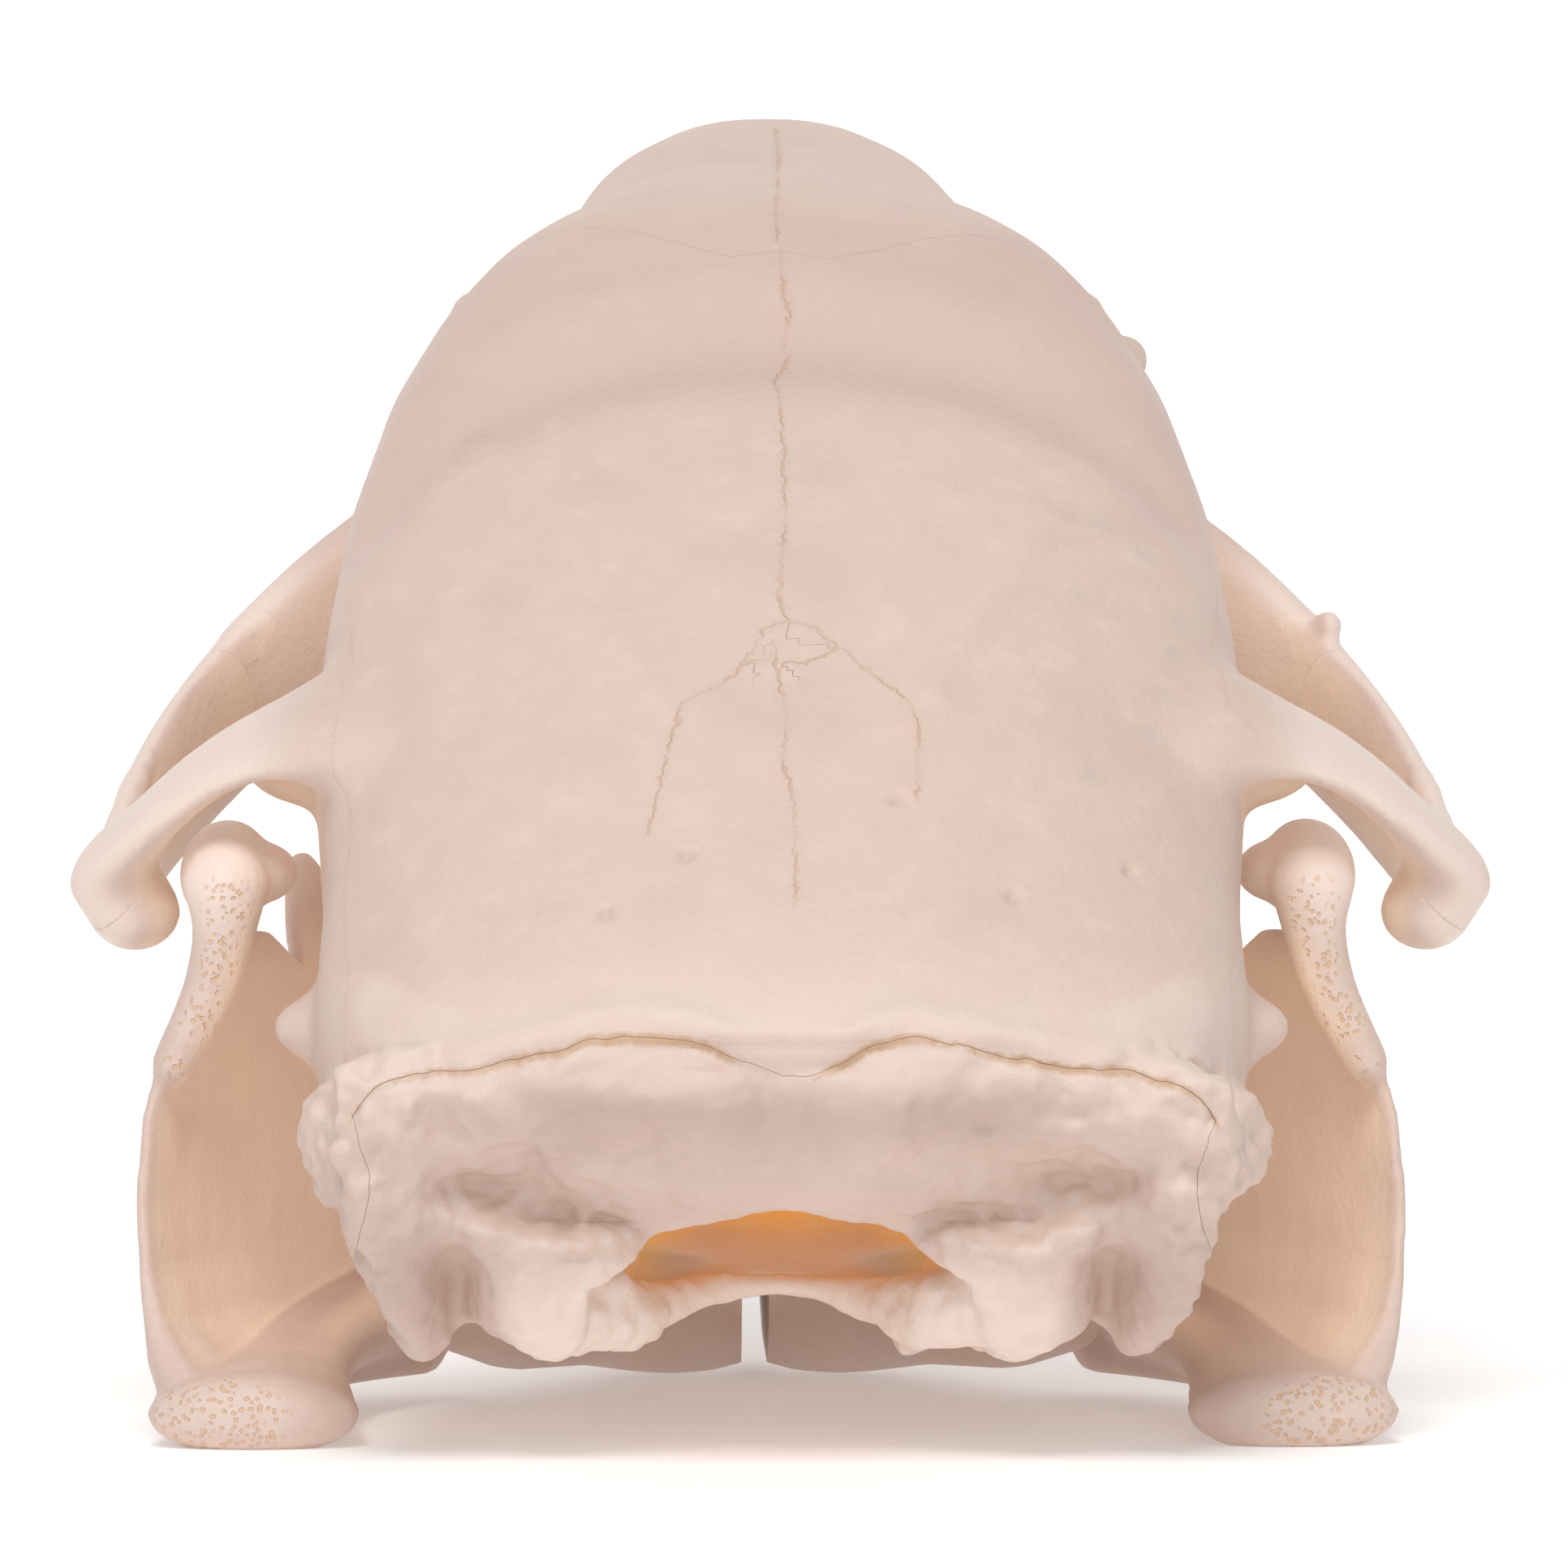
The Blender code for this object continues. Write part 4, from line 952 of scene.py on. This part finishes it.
def rim_share(points):
    """1 on the condyles' lower parts and on the foramen's lower rim, which get a painted highlight.
    """
    lift, depth = seen_from_behind(points)
    share = rise(10.6 - lift, 0.0, 1.6) * rise(14.2 - np.abs(points[:, 0]), 0.0, 1.6)
    return share * rise(depth, 4.0, 7.0) * rise(22.0 - depth, 0.0, 4.0)


def spots(points, places, radius):
    shade = np.zeros(len(points))
    for place in places:
        apart = ((points - np.array(place[:3])) ** 2).sum(axis=1)
        shade = np.maximum(shade, np.exp(-apart / (2 * radius ** 2)))
    return shade


def rough_noise(points, scale, which):
    """Smooth random values between about -1 and 1, with one feature every scale millimetres."""
    values = np.zeros(len(points))
    for k in which:
        values[k] = noise.noise(Vector(points[k]) / scale)
    return values


def saddle(points):
    """Strength of the shallow dip that crosses the frontals."""
    return np.exp(-((points[:, 1] - 47.6 + 0.017 * points[:, 0] ** 2) / 2.6) ** 2)


def shape_cranium(whole):
    """Grooves, ridges and rough muscle fields worked into the finished surface."""
    points = coordinates(whole)
    facing = normals(whole)
    x, y, z = points.T
    push = np.zeros(len(points))
    dorsal = rise(facing[:, 2], 0.45, 0.85)
    for line in TEMPORAL_LINES:
        plain = line_distance(points, facing, line, 4.0)[1]
        push += 0.30 * np.exp(-(plain / 1.1) ** 2)
    push -= 0.60 * dorsal * saddle(points)
    push += 0.28 * dorsal * np.exp(-((y - 53.4 + 0.012 * x * x) / 2.6) ** 2)
    push += 0.45 * dorsal * rise(7.5 - y, 0.0, 6.0) * rise(17.0 - np.abs(x), 0.0, 8.0)
    push -= 0.35 * dorsal * np.exp(-(((np.abs(x) - 13.5) / 4.5) ** 2 + ((y - 10.0) / 5.0) ** 2))
    push -= 0.45 * spots(points, PITS, 0.24)
    above, share = above_crest_line(points)
    push -= 0.22 * share * np.exp(-((above + 0.1) / 0.45) ** 2)
    push += 0.20 * share * np.exp(-((above - 1.0) / 0.6) ** 2)
    back = rise(-z, 0.3, 1.2) * rise(13.0 - y, 0.0, 4.0) * rise(1.5 - z - 1.2 * y - 5.0, -9.0, -5.0)
    field = np.flatnonzero(back > 0.02)
    broad = rough_noise(points, 2.2, field)
    fine = rough_noise(points + 40.0, 0.85, field)
    outer = rise(np.abs(x), 2.0, 8.0)
    outer += 0.8 * rise(np.abs(x), 17.5, 20.0)
    lift = seen_from_behind(points)[0]
    pocket = np.exp(-((np.abs(x) - 16.0) / 1.9) ** 2 - ((lift - 8.6) / 3.0) ** 2)
    push += back * (0.42 * broad + 0.26 * fine) * (0.35 + 0.65 * outer) * (1.0 - 0.85 * pocket)
    place_vertices(whole, points + facing * push[:, None])


# Places on the back darkened by painted shade: x, height, width, height of the patch, strength
OCCIPUT_SHADE_PLACES = (
    (-17.6, 9.0, 3.0, 3.8, 0.95), (17.8, 9.0, 3.0, 3.8, 0.85),
    (-14.4, 13.6, 3.0, 1.4, 0.40), (14.6, 13.9, 3.4, 1.5, 0.50),
    (-7.6, 12.6, 3.6, 1.2, 0.35), (8.0, 12.8, 3.4, 1.2, 0.30),
    (0.0, 16.6, 3.2, 2.8, 0.30), (-10.6, 15.8, 2.0, 1.2, 0.35),
    (10.6, 16.6, 3.0, 1.4, 0.30), (-21.6, 12.4, 1.6, 2.2, 0.35),
    (-7.0, 17.8, 6.5, 2.2, 0.75), (7.0, 17.8, 6.5, 2.2, 0.75),
)


def occiput_shade_strength(points):
    """Strength of the painted shade, a greyer, rosier tint, low on the occiput."""
    x = points[:, 0]
    lift, depth = seen_from_behind(points)
    total = np.zeros(len(points))
    for middle, height, wide, high, power in OCCIPUT_SHADE_PLACES:
        total += power * np.exp(-((x - middle) / wide) ** 2 - ((lift - height) / high) ** 2)
    return np.clip(total, 0.0, 0.9) * rise(15.0 - depth, 0.0, 4.0)


# Occlusion, which drives the painted shade, a warm tint, of the hollows

RECESS_REACH = 32.0
RAY_COUNT = 24
EVEN_TURNS = 14
# Width of the space in cells of 1 mm, for numbering the cells
SPACE = 400


def ray_fan(count):
    """Directions spread over a half sphere, denser along its axis."""
    fan = []
    for k in range(count):
        height = math.sqrt(1 - (k + 0.5) / count)
        angle = k * math.pi * (3 - math.sqrt(5))
        flat = math.sqrt(1 - height * height)
        fan.append(Vector((flat * math.cos(angle), flat * math.sin(angle), height)))
    return fan


def occlusion(item, tree, reach):
    """Share of the near surroundings that bone takes up, for each vertex."""
    points = coordinates(item)
    facing = normals(item)
    turn = np.abs(facing).argmax(axis=1)
    turn = turn * 2 + (facing[np.arange(len(facing)), turn] > 0)
    keys = np.floor(points).astype(np.int64) + SPACE // 2
    keys = ((keys[:, 0] * SPACE + keys[:, 1]) * SPACE + keys[:, 2]) * 6 + turn
    member, counts = np.unique(keys, return_inverse=True, return_counts=True)[1:]
    member = member.ravel()
    middles = np.stack([np.bincount(member, points[:, k]) for k in range(3)], 1) / counts[:, None]
    ways = np.stack([np.bincount(member, facing[:, k]) for k in range(3)], 1)
    fan = ray_fan(RAY_COUNT)
    shade = np.zeros(len(counts))
    for k, (middle, way) in enumerate(zip(middles, ways)):
        way = Vector(way).normalized()
        spin = way.to_track_quat("Z", "Y").to_matrix()
        start = (Vector(middle) + way * 0.3) * MM
        blocked = 0.0
        for ray in fan:
            distance = tree.ray_cast(start, spin @ ray, reach * MM)[3]
            if distance is not None:
                blocked += 1.0 - 0.5 * distance / (reach * MM)
        shade[k] = blocked / len(fan)
    return even_out(item, shade[member], EVEN_TURNS)


def even_out(item, values, turns):
    """Averages a value over neighbouring vertices."""
    first, second = edge_ends(item.data)
    degree = np.bincount(np.append(first, second), minlength=len(values)).clip(1)
    for turn in range(turns):
        total = np.bincount(first, values[second], len(values))
        total += np.bincount(second, values[first], len(values))
        values = 0.4 * values + 0.6 * total / degree
    return values


# Materials

class Shader:
    """Short names for adding and joining the nodes of one material."""

    def __init__(self, name):
        self.material = bpy.data.materials.new(name)
        self.material.use_nodes = True
        self.tree = self.material.node_tree
        self.bsdf = self.tree.nodes["Principled BSDF"]

    def add(self, kind):
        return self.tree.nodes.new("ShaderNode" + kind)

    def join(self, socket, value):
        """Links a socket or sets its value."""
        if isinstance(value, bpy.types.NodeSocket):
            self.tree.links.new(value, socket)
        else:
            socket.default_value = value

    def feed(self, node, **values):
        """Links or sets inputs, by their names with _ for a space."""
        for name, value in values.items():
            self.join(node.inputs[name.replace("_", " ")], value)

    def coords(self):
        return self.add("TexCoord").outputs["Object"]

    def mark(self, name):
        node = self.add("Attribute")
        node.attribute_name = name
        return node.outputs["Fac"]

    def math(self, operation, first, second=0.0):
        node = self.add("Math")
        node.operation = operation
        self.join(node.inputs[0], first)
        self.join(node.inputs[1], second)
        return node.outputs[0]

    def times(self, first, second):
        return self.math("MULTIPLY", first, second)

    def span(self, value, low, high, out_low=0.0, out_high=1.0):
        node = self.add("MapRange")
        node.interpolation_type = "SMOOTHSTEP"
        self.feed(node, Value=value, From_Min=low, From_Max=high, To_Min=out_low, To_Max=out_high)
        return node.outputs["Result"]

    def noise(self, size, detail=3.0, roughness=0.5):
        """Cloudy pattern with features about size millimetres wide."""
        node = self.add("TexNoise")
        self.feed(node, Vector=self.coords(), Scale=1.0 / (size * MM), Detail=detail,
                  Roughness=roughness)
        return node.outputs["Fac"]

    def cells(self, size, shift):
        """Distance to the nearest of scattered points about size millimetres apart."""
        place = self.add("VectorMath")
        place.operation = "MULTIPLY_ADD"
        self.join(place.inputs[0], shift)
        self.join(place.inputs[1], (0.9 * size * MM, -0.8 * size * MM, 0.9 * size * MM))
        self.join(place.inputs[2], self.coords())
        node = self.add("TexVoronoi")
        self.feed(node, Vector=place.outputs["Vector"], Scale=1.0 / (size * MM))
        return node.outputs["Distance"]

    def mix(self, share, first, second):
        node = self.add("Mix")
        node.data_type = "RGBA"
        self.feed(node, Factor=share, A=first, B=second)
        return node.outputs["Result"]

    def bump(self, height, depth):
        """Relief of depth millimetres under the shading."""
        node = self.add("Bump")
        self.feed(node, Strength=1.0, Distance=depth * MM, Height=height)
        return node.outputs["Normal"]

    def glow(self, colour, strength):
        """Faint light of the surface itself, which isn't sampled as a lamp."""
        self.feed(self.bsdf, Emission_Color=colour, Emission_Strength=strength)
        self.material.cycles.emission_sampling = "NONE"

    def finish(self, colour, roughness, normal, subsurface=0.0):
        self.feed(self.bsdf, Base_Color=colour, Roughness=roughness, Normal=normal,
                  Specular_IOR_Level=0.35, Subsurface_Weight=subsurface,
                  Subsurface_Radius=(1.0, 0.55, 0.35), Subsurface_Scale=1.6 * MM)
        return self.material


PALE_BONE = (0.712, 0.553, 0.478, 1.0)
WARM_BONE = (0.710, 0.532, 0.425, 1.0)
ROSY_BONE = (0.640, 0.470, 0.408, 1.0)
# Chalky tone, also the colour of the painted highlights
CHALKY_AND_LIT_BONE = (0.87, 0.725, 0.640, 1.0)
# Painted shade, greyer and rosier, low on the occiput
OCCIPUT_SHADE_TINT = (0.56, 0.415, 0.355, 1.0)
# Painted shade in the hollows and on the jaws' inner faces
SHADED_BONE = (0.83, 0.640, 0.480, 1.0)
# Painted warm light inside the brain's hollow
HOLLOW_LIGHT_TINT = (0.93, 0.590, 0.160, 1.0)
SEAM_TINT = (0.58, 0.350, 0.205, 1.0)
CREST_TINT = (0.56, 0.335, 0.175, 1.0)
PORE_TINT = (0.80, 0.460, 0.210, 1.0)
GREY_TINT = (0.50, 0.46, 0.42, 1.0)

# Strength of the glow, painted light, where a place is shaded, and on the jaw's knuckles
GLOW = {"mandible_left": 0.21, "mandible_right": 0.17}
CRANIUM_GLOW = 0.10
KNUCKLE_GLOW = 0.11


def bone_material(name):
    """Dry, bleached bone: cloudy tint, painted shade and painted warm light in the hollows, brown
    seams, porous growing ends, painted highlights.

    The faint glow is painted light: it stands in for the light that passes through the thin plates
    and brightens shaded places.
    """
    s = Shader(name)
    broad = s.noise(8.0, 1.0)
    middle = s.noise(2.2, 2.0, 0.6)
    fine = s.noise(0.5, 2.0, 0.65)
    colour = s.mix(s.span(broad, 0.50, 0.68, 0.0, 0.35), PALE_BONE, WARM_BONE)
    colour = s.mix(s.span(broad, 0.50, 0.32, 0.0, 0.32), colour, ROSY_BONE)
    colour = s.mix(s.span(middle, 0.54, 0.36, 0.0, 0.16), colour, ROSY_BONE)
    colour = s.mix(s.span(middle, 0.54, 0.74, 0.0, 0.16), colour, CHALKY_AND_LIT_BONE)
    # Painted shade in the frontals' dip, on the forehead and low on the occiput, and painted
    # highlights
    for mark, tint in (("painted_brow_shade", ROSY_BONE), ("painted_occiput_shade", OCCIPUT_SHADE_TINT), ("painted_highlight", CHALKY_AND_LIT_BONE)):
        colour = s.mix(s.mark(mark), colour, tint)
    # Painted warm light inside the brain's hollow, which also adds to the glow
    inner = s.mark("inner")
    # Painted shade where bone crowds round
    shade = s.times(s.mark("shade"), s.span(broad, 0.3, 0.7, 0.75, 1.0))
    colour = s.mix(shade, colour, SHADED_BONE)
    colour = s.mix(inner, colour, HOLLOW_LIGHT_TINT)
    glow = s.math("ADD", s.mark("glow"), s.times(inner, 0.15))
    waver = s.math("SUBTRACT", fine, 0.5)
    apart = s.math("ABSOLUTE", s.math("ADD", s.mark("seam"), s.times(waver, 0.8)))
    power = s.times(s.mark("seam_power"), s.span(middle, 0.36, 0.60, 0.30, 1.0))
    line = s.times(s.span(apart, 0.12, 0.01), power)
    halo = s.times(s.span(apart, 0.55, 0.05), power)
    colour = s.mix(s.times(halo, 0.14), colour, SEAM_TINT)
    colour = s.mix(s.times(line, 0.50), colour, SEAM_TINT)
    crest = s.math("ADD", s.mark("crest"), s.times(waver, 0.90))
    colour = s.mix(s.span(crest, 0.20, 0.90, 0.0, 0.74), colour, CREST_TINT)
    porous = s.mark("porous")
    pores = s.times(s.span(s.cells(0.36, fine), 0.42, 0.22), porous)
    colour = s.mix(s.times(porous, 0.20), colour, CHALKY_AND_LIT_BONE)
    colour = s.mix(s.times(pores, 0.60), colour, PORE_TINT)
    colour = s.mix(s.times(s.mark("grey"), fine), colour, GREY_TINT)
    height = s.times(fine, 0.065)
    height = s.math("SUBTRACT", height, s.times(line, 0.035))
    height = s.math("SUBTRACT", height, s.times(pores, 0.055))
    s.glow(colour, glow)
    return s.finish(colour, s.span(middle, 0.3, 0.7, 0.48, 0.62), s.bump(height, 1.0))


def enamel_material():
    """Cutting teeth: orange enamel in front, cream dentine behind."""
    s = Shader("incisor")
    streaks = s.noise(0.8, 3.0)
    orange = s.mix(streaks, (0.70, 0.28, 0.06, 1.0), (0.82, 0.42, 0.12, 1.0))
    dentine = s.mix(streaks, (0.80, 0.68, 0.50, 1.0), (0.72, 0.56, 0.38, 1.0))
    colour = s.mix(s.mark("enamel"), dentine, orange)
    normal = s.bump(s.noise(0.35, 3.0), 0.02)
    return s.finish(colour, s.span(streaks, 0.3, 0.7, 0.25, 0.4), normal, 0.1)


def molar_material():
    """Cheek teeth: pale enamel with patches of brown stain."""
    s = Shader("cheek_tooth")
    stain = s.span(s.noise(1.1, 4.0), 0.40, 0.70)
    colour = s.mix(stain, (0.84, 0.76, 0.62, 1.0), (0.60, 0.42, 0.24, 1.0))
    normal = s.bump(s.noise(0.3, 3.0), 0.03)
    return s.finish(colour, s.span(stain, 0.0, 1.0, 0.28, 0.5), normal, 0.1)


# Pieces

def settle(item, name, place, material):
    """Gives the piece its place in the shared frame, its looks and its body."""
    item.name = name
    item.data.name = name
    item.data.transform(place)
    item.data.materials.clear()
    item.data.materials.append(material)
    item.data.shade_smooth()
    item.data.set_sharp_from_angle(angle=SHARP_ANGLE)
    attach(item, "root")
    return item


def mark_bone(item, cranium):
    """Paints the marks and returns how readily each place takes the painted shade of the hollows."""
    points = coordinates(item)
    facing = normals(item)
    if cranium:
        seam, power = seam_marks(points, facing)
        paint(item, "seam", seam)
        paint(item, "seam_power", power)
        above, share = above_crest_line(points)
        paint(item, "crest", share * (1.0 - rise(np.abs(above + 0.06), 0.06, 0.55)))
        paint(item, "inner", hollow_share(points))
        # Painted shade low on the occiput and in its pockets
        paint(item, "painted_occiput_shade", occiput_shade_strength(points))
        paint(item, "grey", 0.45 * spots(points, GREY_SPOTS, 0.45))
        dorsal = rise(facing[:, 2], 0.30, 0.75)
        x, y, z = points.T
        # Painted shade: a rosier tint in the frontals' dip and on the forehead
        forehead = rise(y, 40.0, 46.0) * rise(62.0 - y, 0.0, 5.0)
        paint(item, "painted_brow_shade", dorsal * (0.36 * saddle(points) + 0.48 * forehead))
        # Painted highlight on the rim by the crest, at the nasals' seam, on the outer arches and on
        # the foramen's lower rim
        rim = dorsal * rise(8.5 - y, 0.0, 7.0) + rise(-z, -0.5, 0.3) * rise(z + 2.6, 0.0, 1.6)
        rim *= rise(10.0 - y, 0.0, 3.0)
        painted_highlight = np.maximum(0.40 * np.clip(rim, 0.0, 1.0), spots(points, PAINTED_LIGHT_SPOTS, 0.16))
        outside = rise(np.sign(x) * facing[:, 0] + 0.3 * facing[:, 2], -0.3, 0.35)
        painted_highlight = np.maximum(painted_highlight, 0.85 * outside * rise(np.abs(x), 22.5, 27.0) * rise(y, 16.0, 22.0))
        painted_highlight = np.maximum(painted_highlight, 0.90 * rim_share(points))
        paint(item, "painted_highlight", painted_highlight)
        return 0.15 + 0.60 * rise(y, 14.0, 24.0)
    near = np.zeros(len(points))
    outward = np.abs(points * np.array((1.0, 0, 0))) + points * np.array((0, 1.0, 1.0))
    for *place, radius in POROUS_PLACES:
        apart = np.linalg.norm(outward - np.array(place), axis=1)
        near = np.maximum(near, 1.0 - rise(apart, 0.75 * radius, 1.15 * radius))
    paint(item, "porous", near)
    # Painted highlight on the condyle heads
    paint(item, "painted_highlight", 0.7 * rise(points[:, 2], 23.0, 27.0))
    # Painted shade on the inner faces of the ramus
    inward = rise(-np.sign(points[:, 0].mean()) * facing[:, 0], 0.0, 0.5)
    return (0.05 + 0.85 * inward) * rise(points[:, 2], 2.5, 5.0) * rise(27.0 - points[:, 2], 0.0, 5.0)


def tree_of(items):
    """Search tree of several meshes in one frame, for the rays."""
    bm = bmesh.new()
    for item in items:
        bm.from_mesh(item.data)
    tree = BVHTree.FromBMesh(bm)
    bm.free()
    return tree


def main():
    crest_place = Matrix.Translation(Vector((-SKULL_MIDDLE_X, -SKULL_MIDDLE_Y, CREST_HEIGHT)) * MM)
    cranium_place = crest_place @ Euler((CRANIUM_PITCH, 0, CRANIUM_YAW)).to_matrix().to_4x4()
    jaw_place = Matrix.Translation(Vector((-SKULL_MIDDLE_X, -SKULL_MIDDLE_Y, 0)) * MM)
    jaw_place = jaw_place @ Euler((0, 0, JAW_YAW)).to_matrix().to_4x4()
    whole = build_cranium()
    shape_cranium(whole)
    bones = {}
    for side, word in ((-1, "left"), (1, "right")):
        bones["jugal_" + word] = part_off(whole, "jugal", jugal_region, side)
        bones["bulla_" + word] = part_off(whole, "bulla", ear_region, side)
    bones["occipital"] = part_off(whole, "occipital", occipital_region, 1)
    bones["rostrum"] = part_off(whole, "rostrum", rostrum_region, 1)
    bones["braincase"] = whole
    jaws = {"mandible_left": build_jaw(-1), "mandible_right": build_jaw(1)}
    bone = bone_material("bone")
    pieces = {**bones, **jaws}
    ready = {}
    for node, item in pieces.items():
        ready[node] = mark_bone(item, node in bones)
        settle(item, node + "_bone", jaw_place if node in jaws else cranium_place, bone)
        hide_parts(node)
    everything = tree_of(pieces.values())
    for node, item in pieces.items():
        # Painted shade where bone crowds round; the glow is painted light in these shaded places and
        # on the jaw's knuckles
        shade = ready[node] * rise(occlusion(item, everything, RECESS_REACH), 0.22, 0.60)
        paint(item, "shade", shade)
        glow = GLOW.get(node, CRANIUM_GLOW) * shade
        if node in jaws:
            glow += KNUCKLE_GLOW * rise(coordinates(item)[:, 2], 25.0, 28.0)
        paint(item, "glow", glow)
    molar = molar_material()
    enamel = enamel_material()
    for side, word in ((-1, "left"), (1, "right")):
        for number in range(TOOTH_COUNT):
            settle(upper_cheek_tooth(side, number), f"upper_cheek_tooth_{word}_{number + 1}",
                   cranium_place, molar)
            settle(lower_cheek_tooth(side, number), f"lower_cheek_tooth_{word}_{number + 1}",
                   jaw_place, molar)
        for tooth, level, place, centre in (
                (upper_incisor(side), "upper", cranium_place, (72.0, -22.0)),
                (lower_incisor(side), "lower", jaw_place, (70.0, 30.0))):
            points = coordinates(tooth)
            facing = normals(tooth)
            away = points[:, 1:] - np.array(centre)
            away /= np.linalg.norm(away, axis=1)[:, None]
            paint(tooth, "enamel", rise((facing[:, 1:] * away).sum(axis=1), 0.45, 0.75))
            settle(tooth, f"{level}_incisor_{word}", place, enamel)
    make_stage()


# The stage, in metres and watts

FLOOR_REACH = 3.0
FLOOR_BACK = 1.2
FLOOR_CURVE = 0.5
SKY = 0.36
# Lamps: name, place, aim, width, watts
LAMPS = (
    ("key_light", (-0.08, -0.58, 0.82), (0.0, 0.0, 0.02), 0.45, 5.3),
    ("fill_light", (0.05, -1.25, 0.30), (0.0, 0.0, 0.03), 0.6, 1.4),
    ("top_light", (0.0, 0.30, 0.90), (0.0, 0.0, 0.0), 0.5, 0.7),
)
CAMERA_PLACE = (0.0002, -0.7462, 0.0702)
CAMERA_TILT = math.radians(87)
CAMERA_LENS = 335.96


def make_stage():
    """Pale floor that curves up behind, soft light from above and behind, and the photo's view."""
    mesh = bpy.data.meshes.new("floor")
    profile = [(-FLOOR_REACH, 0.0), (FLOOR_BACK, 0.0)]
    for k in range(1, 13):
        angle = math.radians(7.5 * k)
        profile.append((FLOOR_BACK + FLOOR_CURVE * math.sin(angle),
                        FLOOR_CURVE - FLOOR_CURVE * math.cos(angle)))
    profile.append((FLOOR_BACK + FLOOR_CURVE, 1.2))
    corners = [(x, y, z) for y, z in profile for x in (-FLOOR_REACH, FLOOR_REACH)]
    steps = range(len(profile) - 1)
    mesh.from_pydata(corners, [], [(2 * k, 2 * k + 1, 2 * k + 3, 2 * k + 2) for k in steps])
    mesh.shade_smooth()
    floor = new_object("floor", mesh)
    s = Shader("floor")
    shade = s.mix(s.noise(40.0, 2.0), (0.93, 0.93, 0.93, 1.0), (0.95, 0.95, 0.95, 1.0))
    place = s.add("SeparateXYZ")
    s.join(place.inputs[0], s.coords())
    s.feed(s.bsdf, Base_Color=shade, Roughness=0.9)
    s.glow(shade, s.span(place.outputs["Y"], -0.05, 0.9, 0.24, 0.68))
    mesh.materials.append(s.material)
    world = bpy.data.worlds.new("studio")
    world.use_nodes = True
    back = world.node_tree.nodes["Background"]
    back.inputs["Color"].default_value = (1.0, 1.0, 1.0, 1.0)
    back.inputs["Strength"].default_value = SKY
    bpy.context.scene.world = world
    for name, place, aim, width, watts in LAMPS:
        lamp = bpy.data.lights.new(name, "AREA")
        lamp.energy = watts
        lamp.size = width
        item = new_object(name, lamp)
        item.location = place
        ahead = Vector(aim) - Vector(place)
        item.rotation_euler = ahead.to_track_quat("-Z", "Y").to_euler()
    camera = new_object("camera", bpy.data.cameras.new("camera"))
    camera.data.sensor_width = 36.0
    camera.data.lens = CAMERA_LENS
    camera.data.clip_end = 20.0
    camera.location = CAMERA_PLACE
    camera.rotation_euler = (CAMERA_TILT, 0, 0)
    bpy.context.scene.camera = camera
    bpy.context.scene.view_settings.view_transform = "Standard"


main()
